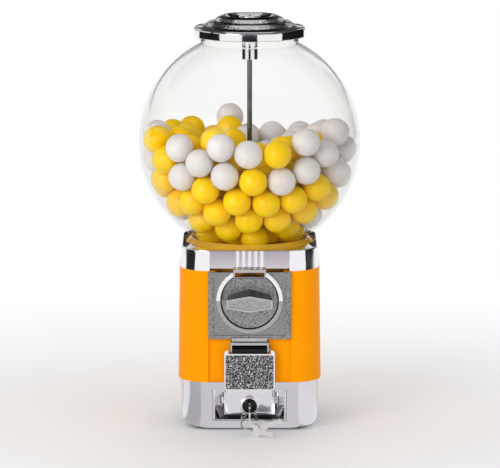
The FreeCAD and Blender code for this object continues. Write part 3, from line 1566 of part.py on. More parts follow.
def make_keys():
    """Key in the drawer lock, its ring, and two spare keys on the ring."""
    key = new_body("drawer_key", UPRIGHT, (0, 0, 0))
    bow = new_sketch(key, "bow", "YZ_Plane", level=-S.key_wall / 2)
    draw_circle(bow, -S.key_bow_reach, S.key_bow_height, S.key_bow_radius)
    draw_circle(bow, -S.key_hole_reach, S.key_hole_height, S.key_hole)
    pad(key, bow, S.key_wall)
    blade = new_sketch(key, "blade", "YZ_Plane", level=-S.key_wall / 2)
    blade_low = S.lock_height - S.key_blade_half
    draw_rectangle(blade, -S.key_bow_reach + S.key_bow_radius / 2, blade_low,
                   S.key_blade_depth - S.plug_front, blade_low + S.key_blade_half * 2)
    pad(key, blade, S.key_wall)
    hang = ring_hang()
    centre = ring_centre()
    ring = DOC.addObject("Part::Torus", "KeyRing")
    bind(ring, "Radius1", S.ring_radius)
    bind(ring, "Radius2", S.ring_wire)
    ring.Placement = FreeCAD.Placement(centre, FreeCAD.Rotation(Vector(1, 0, 0), hang, Vector(), "XYZ"))
    keep("key_ring", ring)
    group("spare_keys", [
        spare_key("SpareKey0", DIMENSIONS["spare_first_turn"], FIRST_HEADING),
        spare_key("SpareKey1", DIMENSIONS["spare_second_turn"], SECOND_HEADING),
    ])


def ring_hang():
    """Direction in which the ring hangs from the hole in the key's bow."""
    lean = math.radians(DIMENSIONS["ring_lean"])
    return Vector(0, -math.sin(lean), -math.cos(lean))


def ring_centre():
    """Middle of the key ring."""
    hole = Vector(0, -DIMENSIONS["key_hole_reach"], DIMENSIONS["key_hole_height"])
    return hole + ring_hang() * DIMENSIONS["ring_radius"]


def spare_key(name, around, heading):
    """Flat key threaded on the ring at an angle from its far end, pointing along a heading."""
    bow = cylinder(f"{name}Bow", S.spare_bow, S.spare_wall, (S.spare_hole_offset, 0, 0))
    half = S.spare_blade_half
    low = (S.spare_hole_offset + S.spare_bow / 2, -half, 0)
    high = (S.spare_hole_offset + S.spare_bow + S.spare_blade, half, S.spare_wall)
    blade = box(f"{name}Blade", low, high)
    hole = cylinder(f"{name}Hole", S.spare_hole, S.spare_wall, (0, 0, 0))
    key = cut(name, fuse(f"{name}Blank", [bow, blade]), hole)
    angle = math.radians(around)
    side = Vector(1, 0, 0)
    spot = ring_centre() + (ring_hang() * math.cos(angle) + side * math.sin(angle)) * DIMENSIONS["ring_radius"]
    wire = side * math.cos(angle) - ring_hang() * math.sin(angle)
    heading = Vector(heading).normalize()
    normal = (wire - heading * wire.dot(heading)).normalize()
    turn = FreeCAD.Rotation(heading, Vector(), normal, "XZY")
    key.Placement = FreeCAD.Placement(spot - normal * (DIMENSIONS["spare_wall"] / 2), turn)
    return key


# Gumballs


class Pile:
    """Gumballs that settle in the globe under their own weight."""

    STEPS = 900
    CALM_STEPS = 260
    FALL = 0.5
    SHAKE = 2.4
    SPREAD = 0.11
    LEAN = 0.02
    SEED = 11

    def __init__(self):
        self.ball = DIMENSIONS["ball_radius"] + DIMENSIONS["ball_room"]
        self.centre = DIMENSIONS["globe_height"]
        self.bowl = DIMENSIONS["globe_radius"] - DIMENSIONS["globe_wall"] - self.ball
        self.neck = DIMENSIONS["globe_neck"] - DIMENSIONS["globe_wall"] - self.ball
        self.floor = DIMENSIONS["cover_low"] + DIMENSIONS["cover_wall"] + self.ball
        self.rod = DIMENSIONS["rod_radius"] + self.ball
        self.hub = DIMENSIONS["cover_hub"] + self.ball
        self.hub_top = DIMENSIONS["cover_low"] + DIMENSIONS["cover_hub_height"] + DIMENSIONS["nut_height"]
        self.dice = random.Random(self.SEED)
        self.spots = self.lattice()

    def lattice(self):
        """Start from loose layers, lowest first."""
        pitch = self.ball * 2.08
        spots = []
        level = self.floor
        while len(spots) < DIMENSIONS["ball_count"]:
            shift = self.dice.random() * pitch
            cells = [(column * pitch + shift, row * pitch + shift) for column in range(-6, 6) for row in range(-6, 6)]
            for x, y in sorted(cells, key=lambda cell: self.dice.random()):
                radius = math.hypot(x, y)
                limit = math.sqrt(max(self.bowl ** 2 - (level - self.centre) ** 2, self.neck ** 2))
                if self.hub < radius < limit:
                    spots.append([x, y, level])
            level += pitch * 0.8
        return spots[:DIMENSIONS["ball_count"]]

    def pairs(self):
        """Gumballs that are near enough to touch soon."""
        reach = (self.ball * 2.5) ** 2
        near = []
        for first, one in enumerate(self.spots):
            for second in range(first):
                other = self.spots[second]
                gap = sum((a - b) ** 2 for a, b in zip(one, other))
                if gap < reach:
                    near.append((first, second))
        return near

    def part(self, near):
        """Push touching gumballs apart."""
        span = self.ball * 2
        for first, second in near:
            one = self.spots[first]
            other = self.spots[second]
            offset = [a - b for a, b in zip(one, other)]
            gap = math.sqrt(sum(value * value for value in offset)) or 1e-6
            if gap < span:
                push = (span - gap) / gap / 2
                for axis, value in enumerate(offset):
                    one[axis] += value * push
                    other[axis] -= value * push

    def confine(self, spot):
        """Keep one gumball inside the globe, above the wheel and off the rod."""
        spot[2] = max(spot[2], self.floor)
        radius = math.hypot(spot[0], spot[1]) or 1e-6
        inner = self.hub if spot[2] < self.hub_top + self.ball else self.rod
        if radius < inner:
            spot[0] *= inner / radius
            spot[1] *= inner / radius
            radius = inner
        rise = spot[2] - self.centre
        reach = math.hypot(radius, rise)
        if reach > self.bowl and radius > self.neck:
            scale = self.bowl / reach
            if rise < 0 and radius * scale < self.neck:
                scale = self.neck / radius
            else:
                spot[2] = self.centre + rise * scale
            spot[0] *= scale
            spot[1] *= scale

    def settle(self):
        """Let the pile fall, a little outwards as poured, then ease it until nothing overlaps."""
        near = self.pairs()
        for step in range(self.STEPS + self.CALM_STEPS):
            falling = step < self.STEPS
            shake = self.SHAKE * max(0.0, 1 - 2.2 * step / self.STEPS)
            if step % 6 == 0:
                near = self.pairs()
            for spot in self.spots:
                if falling:
                    radius = math.hypot(spot[0], spot[1]) or 1e-6
                    spot[0] += self.dice.uniform(-shake, shake) + self.SPREAD * spot[0] / radius + self.LEAN
                    spot[1] += self.dice.uniform(-shake, shake) + self.SPREAD * spot[1] / radius
                    spot[2] -= self.FALL
            for _ in range(2):
                self.part(near)
                for spot in self.spots:
                    self.confine(spot)
        return self.spots


# Places at the front of the pile where a white gumball shows, across and up
WHITE_PLACES = (
    (-100, 268), (-68, 295), (-62, 281), (-70, 254), (-30, 280), (-18, 252), (-1, 274), (19, 262),
    (40, 296), (47, 253), (63, 286), (71, 303), (73, 261), (71, 212), (94, 286), (94, 241),
)


def white_gumballs(spots):
    """Numbers of the white gumballs: one at each front place, and more with height behind."""
    dice = random.Random(Pile.SEED)
    chosen = set()
    for across, up in WHITE_PLACES:
        def distance(number):
            x, y, z = spots[number]
            depth = math.sqrt(max(DIMENSIONS["globe_radius"] ** 2 - x * x - (z - DIMENSIONS["globe_height"]) ** 2, 0))
            return math.hypot(x - across, z - up) + (y + depth) / 3
        chosen.add(min((number for number in range(len(spots)) if number not in chosen), key=distance))
    for number, (_, y, z) in enumerate(spots):
        share = 0.1 + 0.5 * max(0.0, (z - 215) / 80)
        if y > 0 and dice.random() < share:
            chosen.add(number)
    return chosen


def make_gumballs():
    """Pile of yellow and white gumballs, and the ones waiting in the wheel's pockets."""
    spots = Pile().settle()
    radius = DIMENSIONS["ball_radius"]
    least = min(math.dist(one, other) for index, one in enumerate(spots) for other in spots[:index])
    print(f"{len(spots)} gumballs, least gap {least - 2 * radius:.3f}, top {max(s[2] for s in spots):.1f}")
    pale = white_gumballs(spots)
    white = [spot for number, spot in enumerate(spots) if number in pale]
    yellow = [spot for number, spot in enumerate(spots) if number not in pale]
    for label, places in (("gumballs_yellow", yellow), ("gumballs_white", white)):
        heap = DOC.addObject("Part::Feature", label)
        heap.Shape = Part.makeCompound([Part.makeSphere(radius, Vector(*spot)) for spot in places])
        keep(label, heap)
    count = DIMENSIONS["pocket_count"]
    balls = []
    for index in range(count):
        angle = 2 * math.pi * (index + 0.5) / count
        spot = (S.pocket_circle * math.cos(angle), S.pocket_circle * math.sin(angle),
                S.hopper_deck + S.ball_radius + S.pin_gap)
        ball = DOC.addObject("Part::Sphere", f"PocketBall{index}")
        bind(ball, "Radius", S.ball_radius)
        place(ball, spot)
        balls.append(ball)
    group("pocket_gumballs", balls)


def check_and_write():
    """Make sure that every sub-part is sound, then write each to its own file."""
    DOC.recompute()
    for item in DOC.Objects:
        if "Invalid" in item.State or "Error" in item.State:
            raise RuntimeError(f"{item.Label} is {item.State}")
    for label, item in NODES.items():
        if item.Shape.isNull() or not item.Shape.isValid():
            raise RuntimeError(f"{label} has no sound shape")
    os.makedirs("parts", exist_ok=True)
    for label, item in NODES.items():
        item.Shape.exportStep(f"parts/{label}.step")
    print(f"{len(NODES)} sub-parts written")


make_globe()
make_lid()
make_rod()
make_collar()
make_hopper()
make_flange_screws()
make_ball_wheel()
make_body_shell()
make_floor_plate()
make_ball_chute()
make_coin_guide()
make_face_plate()
make_slot_block()
make_knob()
make_drive()
make_mech_frame()
make_door()
make_base()
make_drawer()
make_lock()
make_keys()
make_gumballs()
check_and_write()
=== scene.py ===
"""Looks of a table-top gumball machine, built around its solid parts.

Metres, +Z up, the coin mechanism faces -Y.  Each sub-assembly is a class that
models its visible pieces over the solid nodes and gives every node its finish.
"""

import json
import logging
import math
from contextlib import contextmanager
from dataclasses import dataclass, field
from enum import Enum
from typing import Callable, Iterator, Sequence

import bpy
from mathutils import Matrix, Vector

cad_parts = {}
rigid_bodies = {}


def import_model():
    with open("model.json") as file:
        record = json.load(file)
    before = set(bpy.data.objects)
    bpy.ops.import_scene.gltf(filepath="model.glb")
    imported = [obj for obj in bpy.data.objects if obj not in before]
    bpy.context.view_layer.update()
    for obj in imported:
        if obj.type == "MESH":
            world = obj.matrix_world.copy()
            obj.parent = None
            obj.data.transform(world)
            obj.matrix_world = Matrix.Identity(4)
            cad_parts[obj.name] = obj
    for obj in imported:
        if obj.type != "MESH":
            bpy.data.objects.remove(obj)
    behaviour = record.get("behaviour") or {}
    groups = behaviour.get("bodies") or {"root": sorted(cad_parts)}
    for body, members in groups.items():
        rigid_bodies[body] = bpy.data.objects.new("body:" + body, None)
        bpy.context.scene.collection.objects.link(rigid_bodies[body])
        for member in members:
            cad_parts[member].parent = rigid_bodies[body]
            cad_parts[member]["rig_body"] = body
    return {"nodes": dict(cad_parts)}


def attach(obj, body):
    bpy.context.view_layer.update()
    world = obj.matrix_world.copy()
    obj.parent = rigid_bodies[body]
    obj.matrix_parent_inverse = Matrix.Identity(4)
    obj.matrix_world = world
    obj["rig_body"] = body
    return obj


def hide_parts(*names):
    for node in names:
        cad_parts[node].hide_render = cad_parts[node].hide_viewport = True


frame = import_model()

LOG = logging.getLogger("gumball_machine")
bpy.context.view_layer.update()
MM = 0.001
WELD = 0.002 * MM
FLAT_ANGLE = 0.3
SHARP_ANGLE = 35.0
FLAT_WEIGHT = 75
MARK_CONTRAST = 1.4

# Millimetres within which a point counts as lying on a cut.
ON_CUT = 0.01

Point = tuple[float, float]
Spot = tuple[float, float, float]
Colour = tuple[float, float, float]
Piece = bpy.types.Object
Socket = bpy.types.NodeSocket

# Places of the colour sockets on a Mix node, which has a set for each kind of data.
MIX_FIRST, MIX_SECOND, MIX_RESULT = 6, 7, 2


class Body(Enum):
    """The bodies that carry a newly modelled piece."""

    MACHINE = "machine"
    DOOR = "door"
    LID = "lid_unit"
    DRAWER = "drawer"


# Wiring of finishes


def reckon(tree: bpy.types.NodeTree, operation: str, *values: object) -> Socket:
    """Adds a maths node.

    Args:
        tree: the node tree.
        operation: Blender's name of the operation.
        values: output sockets or numbers, in the order of the node's inputs.

    Returns:
        The result.
    """
    made = tree.nodes.new("ShaderNodeMath")
    made.operation = operation
    for socket, value in zip(made.inputs, values):
        if isinstance(value, Socket):
            tree.links.new(value, socket)
        else:
            socket.default_value = value
    return made.outputs[0]


class Wiring:
    """Node tree of one material, with short ways to add and join its nodes."""

    def __init__(self, name: str) -> None:
        """Starts a material with a single Principled shader.

        Args:
            name: name of the new material.
        """
        self.material = bpy.data.materials.new(name)
        self.material.use_nodes = True
        self.tree = self.material.node_tree
        self.shader = self.tree.nodes["Principled BSDF"]
        self.output = self.tree.nodes["Material Output"]
        self.point = self.node("ShaderNodeTexCoord").outputs["Object"]

    def node(self, kind: str, **inputs: object) -> bpy.types.Node:
        """Adds a node and sets its input sockets.

        Args:
            kind: Blender's name of the node type.
            inputs: socket values by socket name, with _ for a space.

        Returns:
            The new node.
        """
        made = self.tree.nodes.new(kind)
        for name, value in inputs.items():
            self.feed(made.inputs[name.replace("_", " ")], value)
        return made

    def feed(self, socket: Socket, value: object) -> None:
        """Links an output socket to an input, or sets the input's own value.

        Args:
            socket: the input socket.
            value: an output socket, a number or a colour.
        """
        if isinstance(value, Socket):
            self.tree.links.new(value, socket)
        elif socket.type == "RGBA":
            socket.default_value = (*value, 1.0)
        else:
            socket.default_value = value

    def set(self, **inputs: object) -> None:
        """Feeds the shader's own sockets, named with _ for a space."""
        for name, value in inputs.items():
            self.feed(self.shader.inputs[name.replace("_", " ")], value)

    def noise(self, grain: float, detail: float = 3.0, stretch: Spot = (1, 1, 1)) -> Socket:
        """Cloudy pattern.

        Args:
            grain: size of its patches in metres.
            detail: number of finer layers.
            stretch: scale along each axis.

        Returns:
            The pattern's value, about 0 to 1.
        """
        place = self.node("ShaderNodeMapping", Vector=self.point, Scale=stretch)
        made = self.node(
            "ShaderNodeTexNoise", Vector=place.outputs["Vector"], Scale=1 / grain, Detail=detail)
        return made.outputs["Fac"]

    def cells(self, size: float, soft: float) -> Socket:
        """Rounded dents side by side, as a hammer leaves them.

        Args:
            size: width of a dent in metres.
            soft: how far neighbouring dents run together.

        Returns:
            The depth pattern's value.
        """
        made = self.tree.nodes.new("ShaderNodeTexVoronoi")
        made.feature = "SMOOTH_F1"
        self.feed(made.inputs["Vector"], self.point)
        self.feed(made.inputs["Scale"], 1 / size)
        self.feed(made.inputs["Smoothness"], soft)
        return made.outputs["Distance"]

    def between(
            self, value: Socket, low: float, high: float, source: Point = (0.3, 0.7)) -> Socket:
        """Moves a pattern's value into a range.

        Args:
            value: the pattern.
            low: result at the low end of the source range.
            high: result at its high end.
            source: the part of the pattern's own range that is used.

        Returns:
            The new value.
        """
        made = self.node("ShaderNodeMapRange", Value=value)
        ends = {"From Min": source[0], "From Max": source[1], "To Min": low, "To Max": high}
        for name, end in ends.items():
            made.inputs[name].default_value = end
        return made.outputs["Result"]

    def blend(self, share: Socket, first: Colour, second: Colour) -> Socket:
        """Mixes two colours by a pattern.

        Args:
            share: 0 for the first colour, 1 for the second.
            first: a colour.
            second: a colour.

        Returns:
            The mixed colour.
        """
        made = self.tree.nodes.new("ShaderNodeMix")
        made.data_type = "RGBA"
        self.feed(made.inputs["Factor"], share)
        self.feed(made.inputs[MIX_FIRST], first)
        self.feed(made.inputs[MIX_SECOND], second)
        return made.outputs[MIX_RESULT]

    def sum(self, first: Socket, second: Socket, share: float) -> Socket:
        """Returns the first pattern with a share of the second one added."""
        return reckon(self.tree, "MULTIPLY_ADD", second, share, first)

    def bump(self, height: Socket, depth: float) -> None:
        """Roughens the shader's normal by a pattern whose value of 1 stands for a depth in metres."""
        made = self.node("ShaderNodeBump", Height=height, Distance=depth, Strength=1.0)
        self.set(Normal=made.outputs["Normal"])

    def show(self, share: Socket, first: Socket, second: Socket) -> None:
        """Makes the surface a mixture of two shaders.

        Args:
            share: 0 for the first shader, 1 for the second.
            first: a shader's output.
            second: a shader's output.
        """
        mix = self.node("ShaderNodeMixShader", Fac=share)
        self.feed(mix.inputs[1], first)
        self.feed(mix.inputs[2], second)
        self.feed(self.output.inputs["Surface"], mix.outputs["Shader"])


# Finishes

MADE: dict[str, bpy.types.Material] = {}


@dataclass(frozen=True)
class Finish:
    """A surface finish.  Each kind wires its own nodes."""

    name: str

    def wire(self, wiring: Wiring) -> None:
        """Wires the finish into a fresh material."""
        raise NotImplementedError

    def material(self) -> bpy.types.Material:
        """Makes the material on first use.

        Returns:
            The finish's material.
        """
        if self.name not in MADE:
            wiring = Wiring(self.name)
            self.wire(wiring)
            MADE[self.name] = wiring.material
        return MADE[self.name]

    def put_on(self, piece: Piece) -> None:
        """Gives a piece this finish all over."""
        piece.data.materials.clear()
        piece.data.materials.append(self.material())


@dataclass(frozen=True)
class PlatedMetal(Finish):
    """Bright or satin plated metal with faint clouding and fine grain."""

    colour: Colour
    shade: Colour
    roughness: Point = (0.05, 0.1)
    cloud: float = 0.02
    grain: float = 0.0008
    grain_share: float = 0.3
    spread: Point = (0.4, 0.9)
    relief: float = 0.000002
    brushed: Spot = (1, 1, 1)

    def wire(self, wiring: Wiring) -> None:
        """Wires tint, roughness and grain."""
        cloud = wiring.noise(self.cloud, 4.0)
        grain = wiring.noise(self.grain, 2.0, self.brushed)
        wear = wiring.sum(cloud, grain, self.grain_share)
        wiring.set(
            Base_Color=wiring.blend(cloud, self.colour, self.shade),
            Metallic=1.0,
            Roughness=wiring.between(wear, *self.roughness, source=self.spread),
        )
        wiring.bump(grain, self.relief)


@dataclass(frozen=True)
class HammeredMetal(Finish):
    """Plated metal with hammer dents, darkened in their deep places by painted shade."""

    colour: Colour
    shade: Colour
    dent: float = 0.002
    soft: float = 0.6
    fine: float = 0.6
    fine_share: float = 0.8
    depth: float = 0.0004
    contrast: Point = (0.35, 1.1)
    roughness: float = 0.16

    def wire(self, wiring: Wiring) -> None:
        """Wires dents, with painted shade making the deep places darker."""
        dents = wiring.cells(self.dent, self.soft)
        fine = wiring.noise(self.dent * self.fine)
        height = wiring.sum(dents, fine, self.fine_share)
        raised = wiring.between(height, 0, 1, self.contrast)
        # painted shade: the deep places of the dents take the shade colour
        wiring.set(
            Base_Color=wiring.blend(raised, self.shade, self.colour),
            Metallic=1.0,
            Roughness=self.roughness,
        )
        wiring.bump(height, self.depth)


@dataclass(frozen=True)
class CastMetal(Finish):
    """Die-cast zinc with a pebbled skin."""

    colour: Colour
    shade: Colour
    pebble: float = 0.001
    depth: float = 0.00012
    pits: Point = (0.36, 0.56)
    cloud: float = 0.015
    roughness: Point = (0.3, 0.5)

    def wire(self, wiring: Wiring) -> None:
        """Wires the pebbled skin and its darker pits."""
        pebbles = wiring.noise(self.pebble, 4.0)
        cloud = wiring.noise(self.cloud)
        pits = wiring.between(pebbles, 0.0, 1.0, self.pits)
        wiring.set(
            Base_Color=wiring.blend(pits, self.shade, self.colour),
            Metallic=1.0,
            Roughness=wiring.between(cloud, *self.roughness),
        )
        wiring.bump(pebbles, self.depth)


@dataclass(frozen=True)
class GlossPaint(Finish):
    """Stove-enamelled paint with a faint orange peel."""

    colour: Colour
    shade: Colour
    drift: float = 0.05
    peel: float = 0.0022
    depth: float = 0.00003
    roughness: Point = (0.28, 0.36)
    gloss: float = 0.04
    coat: float = 0.01
    coat_roughness: float = 0.08

    def wire(self, wiring: Wiring) -> None:
        """Wires colour drift, peel and a clear top coat."""
        drift = wiring.noise(self.drift, 2.0)
        peel = wiring.noise(self.peel, 1.0)
        wiring.set(
            Base_Color=wiring.blend(drift, self.colour, self.shade),
            Roughness=wiring.between(drift, *self.roughness),
            Specular_IOR_Level=self.gloss,
            Coat_Weight=self.coat,
            Coat_Roughness=self.coat_roughness,
        )
        wiring.bump(peel, self.depth)


@dataclass(frozen=True)
class ClearPlastic(Finish):
    """Clear blow-moulded plastic that lets the lamps through, painted darker where it turns away, as
    shade on its outline.
    """

    colour: Colour = (0.975, 0.975, 0.968)
    # colour of the painted shade along the outline
    edge: Colour = (0.80, 0.80, 0.785)
    clarity: float = 1.0
    ior: float = 1.14
    turned: Point = (0.35, 1.0)
    wave: float = 0.03
    wave_share: float = 0.02
    depth: float = 0.00002
    lamplight: Colour = (0.96, 0.96, 0.96)

    def wire(self, wiring: Wiring) -> None:
        """Wires clear plastic with a faint waviness."""
        wave = wiring.noise(self.wave, 1.0)
        facing = wiring.node("ShaderNodeLayerWeight", Blend=0.5).outputs["Facing"]
        # painted shade: the colour darkens where the surface turns away from the view
        rim = wiring.between(wiring.sum(facing, wave, self.wave_share), 0, 1, self.turned)
        wiring.set(
            Base_Color=wiring.blend(rim, self.colour, self.edge),
            Roughness=0.0,
            IOR=self.ior,
            Transmission_Weight=self.clarity,
        )
        wiring.bump(wave, self.depth)
        path = wiring.node("ShaderNodeLightPath")
        through = wiring.node("ShaderNodeBsdfTransparent", Color=self.lamplight)
        wiring.show(
            path.outputs["Is Shadow Ray"], wiring.shader.outputs["BSDF"], through.outputs["BSDF"])


@dataclass(frozen=True)
class SugarShell(Finish):
    """Polished sugar shell of a gumball, a little translucent."""

    colour: Colour
    shade: Colour
    scatter: Colour
    glow: float
    reach: float = 0.02
    mottle: float = 0.012
    skin: float = 0.0015
    relief: float = 0.00002
    roughness: Point = (0.26, 0.36)
    gloss: float = 0.2
    coat: float = 0.15
    coat_roughness: float = 0.12

    def wire(self, wiring: Wiring) -> None:
        """Wires mottled colour, light that scatters inside, and polish."""
        mottle = wiring.noise(self.mottle)
        skin = wiring.noise(self.skin, 2.0)
        wiring.set(
            Base_Color=wiring.blend(wiring.between(mottle, 0, 1), self.colour, self.shade),
            Roughness=wiring.between(mottle, *self.roughness),
            Subsurface_Weight=self.glow,
            Subsurface_Radius=self.scatter,
            Subsurface_Scale=self.reach,
            Specular_IOR_Level=self.gloss,
            Coat_Weight=self.coat,
            Coat_Roughness=self.coat_roughness,
        )
        wiring.bump(skin, self.relief)


@dataclass(frozen=True)
class Moulded(Finish):
    """Moulded plastic or rubber with a fine matt skin."""

    colour: Colour
    shade: Colour
    roughness: Point = (0.35, 0.5)
    cloud: float = 0.02
    grain: float = 0.0009
    relief: float = 0.00003

    def wire(self, wiring: Wiring) -> None:
        """Wires the skin's tint and grain."""
        cloud = wiring.noise(self.cloud)
        grain = wiring.noise(self.grain, 2.0)
        wiring.set(
            Base_Color=wiring.blend(cloud, self.colour, self.shade),
            Roughness=wiring.between(grain, *self.roughness),
        )
        wiring.bump(grain, self.relief)


CHROME = PlatedMetal("bright_chrome", (0.90, 0.90, 0.92), (0.84, 0.84, 0.86))
# The lid's top takes a darker chrome than its rim: painted shade for the dark reflections on its top.
LID_SHADED_CHROME = PlatedMetal("lid_chrome_painted_shade", (0.50, 0.50, 0.52), (0.44, 0.44, 0.46), (0.07, 0.12))
LID_HAMMERED = HammeredMetal(
    "lid_hammered_chrome", (0.62, 0.62, 0.64), (0.22, 0.22, 0.23), depth=0.00015)
# The door's dents take a near-black painted shade, standing in for the dark reflections in them.
DOOR_HAMMERED = HammeredMetal(
    "door_hammered_chrome", (0.63, 0.635, 0.65), (0.012, 0.012, 0.014),
    dent=0.001, contrast=(0.83, 1.15))
SATIN_CHROME = PlatedMetal(
    "satin_plate", (0.76, 0.75, 0.77), (0.72, 0.71, 0.73), (0.13, 0.2), brushed=(1, 1, 0.1))
CAST_ZINC = CastMetal("cast_zinc", (0.40, 0.395, 0.41), (0.13, 0.13, 0.13))
GRIP_ZINC = CastMetal("grip_zinc", (0.50, 0.495, 0.51), (0.26, 0.26, 0.26))
SMOOTH_ZINC = PlatedMetal("smooth_zinc", (0.58, 0.57, 0.58), (0.50, 0.49, 0.50), (0.22, 0.34))
# The dial ring's lower half takes a duller zinc than its chromed upper half: painted shade.
RING_SHADED_ZINC = PlatedMetal("ring_lower_painted_shade", (0.47, 0.46, 0.47), (0.40, 0.39, 0.40), (0.22, 0.34))
ROD_STEEL = PlatedMetal(
    "rod_steel", (0.16, 0.17, 0.165), (0.12, 0.13, 0.125), (0.25, 0.4), brushed=(1, 1, 0.08))
STEEL = PlatedMetal(
    "plain_steel", (0.48, 0.48, 0.46), (0.40, 0.40, 0.38), (0.22, 0.35), brushed=(1, 1, 0.08))
BRASS = PlatedMetal("plain_brass", (0.72, 0.52, 0.20), (0.60, 0.42, 0.15), (0.2, 0.32))
NICKEL = PlatedMetal(
    "nickel_plate", (0.88, 0.87, 0.85), (0.78, 0.77, 0.75), (0.2, 0.34), grain=0.0004)
# The knob grip's sides take a dark zinc: painted shade for their dark look.
GRIP_SIDE_SHADE_ZINC = PlatedMetal("grip_sides_painted_shade", (0.13, 0.13, 0.135), (0.09, 0.09, 0.093), (0.2, 0.32))
BLACK_CHROME = PlatedMetal("black_chrome", (0.03, 0.03, 0.032), (0.02, 0.02, 0.022), (0.06, 0.14))
ORANGE = GlossPaint("orange_enamel", (0.97, 0.33, 0.0), (0.93, 0.31, 0.0))
ACRYLIC = ClearPlastic("clear_globe")
# Painted light: the globe's flange is clear; its golden colour paints the gumballs' yellow light
# carried through it.
FOOT_PIPED_LIGHT = ClearPlastic("globe_foot_painted_light", (1.0, 0.62, 0.06), (0.85, 0.45, 0.03), clarity=0.4)
YELLOW_GUM = SugarShell("yellow_sugar", (1.0, 0.62, 0.001), (1.0, 0.57, 0.0), (0.6, 0.6, 0.03), 0.9)
WHITE_GUM = SugarShell(
    "white_sugar", (0.73, 0.70, 0.69), (0.66, 0.625, 0.615), (1.0, 0.9, 0.8), 1.0)
ORANGE_PLASTIC = Moulded("orange_plastic", (0.90, 0.38, 0.02), (0.84, 0.33, 0.015))
RUBBER = Moulded("black_rubber", (0.03, 0.03, 0.032), (0.045, 0.045, 0.048), (0.6, 0.8))
# Painted light: the globe gasket's amber stands for the gumballs' yellow light carried through the
# flange.
GASKET_PIPED_LIGHT = Moulded("globe_gasket_painted_light", (0.86, 0.46, 0.02), (0.80, 0.40, 0.015), (0.4, 0.6))
PALE_RUBBER = Moulded("pale_rubber", (0.72, 0.72, 0.72), (0.66, 0.66, 0.66), (0.5, 0.7))


# Bench tools


def deselect() -> None:
    """Leaves nothing selected and no object active in edit mode."""
    if bpy.context.object is not None and bpy.context.object.mode != "OBJECT":
        bpy.ops.object.mode_set(mode="OBJECT")
    bpy.ops.object.select_all(action="DESELECT")


def pick(piece: Piece) -> None:
    """Selects one piece alone and makes it active.

    Args:
        piece: the piece.
    """
    deselect()
    piece.select_set(True)
    bpy.context.view_layer.objects.active = piece


@contextmanager
def editing(piece: Piece) -> Iterator[None]:
    """Opens a piece in edit mode with all of it selected.

    Args:
        piece: the piece.
    """
    pick(piece)
    bpy.ops.object.mode_set(mode="EDIT")
    bpy.ops.mesh.select_all(action="SELECT")
    yield
    bpy.ops.object.mode_set(mode="OBJECT")


def apply_modifiers(piece: Piece) -> None:
    """Applies every modifier of a piece, first to last.

    Args:
        piece: the piece.
    """
    pick(piece)
    for name in [modifier.name for modifier in piece.modifiers]:
        bpy.ops.object.modifier_apply(modifier=name)


def smooth(piece: Piece, angle: float = SHARP_ANGLE) -> None:
    """Shades a piece smoothly, apart from its sharp edges.

    Args:
        piece: the piece.
        angle: edges sharper than this many degrees stay sharp.
    """
    pick(piece)
    bpy.ops.object.shade_smooth_by_angle(angle=math.radians(angle))


def keep_flats(piece: Piece) -> None:
    """Lets a piece's large faces set the shading, so that flats stay flat beside roundings.

    Args:
        piece: the piece.
    """
    flats = piece.modifiers.new("flats", "WEIGHTED_NORMAL")
    flats.mode = "FACE_AREA"
    flats.weight = FLAT_WEIGHT
    flats.keep_sharp = True
    apply_modifiers(piece)


def ease_edges(piece: Piece, width: float, steps: int = 2) -> None:
    """Rounds the sharp edges of a piece.

    Args:
        piece: the piece.
        width: width of the rounding in metres.
        steps: facets across the rounding.
    """
    bevel = piece.modifiers.new("eased", "BEVEL")
    bevel.width = width
    bevel.segments = steps
    bevel.limit_method = "ANGLE"
    bevel.angle_limit = math.radians(SHARP_ANGLE)
    bevel.use_clamp_overlap = True
    bevel.harden_normals = False
    apply_modifiers(piece)


def skin_of(node: str, finish: Finish, ease: float = 0.0, steps: int = 2) -> Piece:
    """Stands a finely shaded copy in the place of a solid node.

    Args:
        node: name of the node.
        finish: its finish.
        ease: rounding of its sharp edges in metres; 0 leaves them sharp.
        steps: facets across a rounding.

    Returns:
        The new piece, riding on the node's body.
    """
    source = frame["nodes"][node]
    piece = bpy.data.objects.new(f"{node}_skin", source.data.copy())
    bpy.context.scene.collection.objects.link(piece)
    pick(piece)
    bpy.ops.mesh.customdata_custom_splitnormals_clear()
    with editing(piece):
        bpy.ops.mesh.remove_doubles(threshold=WELD)
        bpy.ops.mesh.dissolve_limited(angle_limit=math.radians(FLAT_ANGLE))
        bpy.ops.mesh.vert_connect_concave()
    if ease > 0:
        ease_edges(piece, ease, steps)
    smooth(piece)
    keep_flats(piece)
    finish.put_on(piece)
    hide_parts(node)
    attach(piece, source["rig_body"])
    LOG.info("skin %s: %d faces", piece.name, len(piece.data.polygons))
    return piece


def paint(piece: Piece, finish: Finish, inside: Callable[[Vector], bool]) -> None:
    """Gives the faces of a piece that lie wholly in a region another finish.

    Args:
        piece: the piece.
        finish: the region's finish.
        inside: tells for a corner of a face whether it lies in the region.
    """
    slot = len(piece.data.materials)
    piece.data.materials.append(finish.material())
    corners = piece.data.vertices
    for face in piece.data.polygons:
        if all(inside(corners[index].co) for index in face.vertices):
            face.material_index = slot


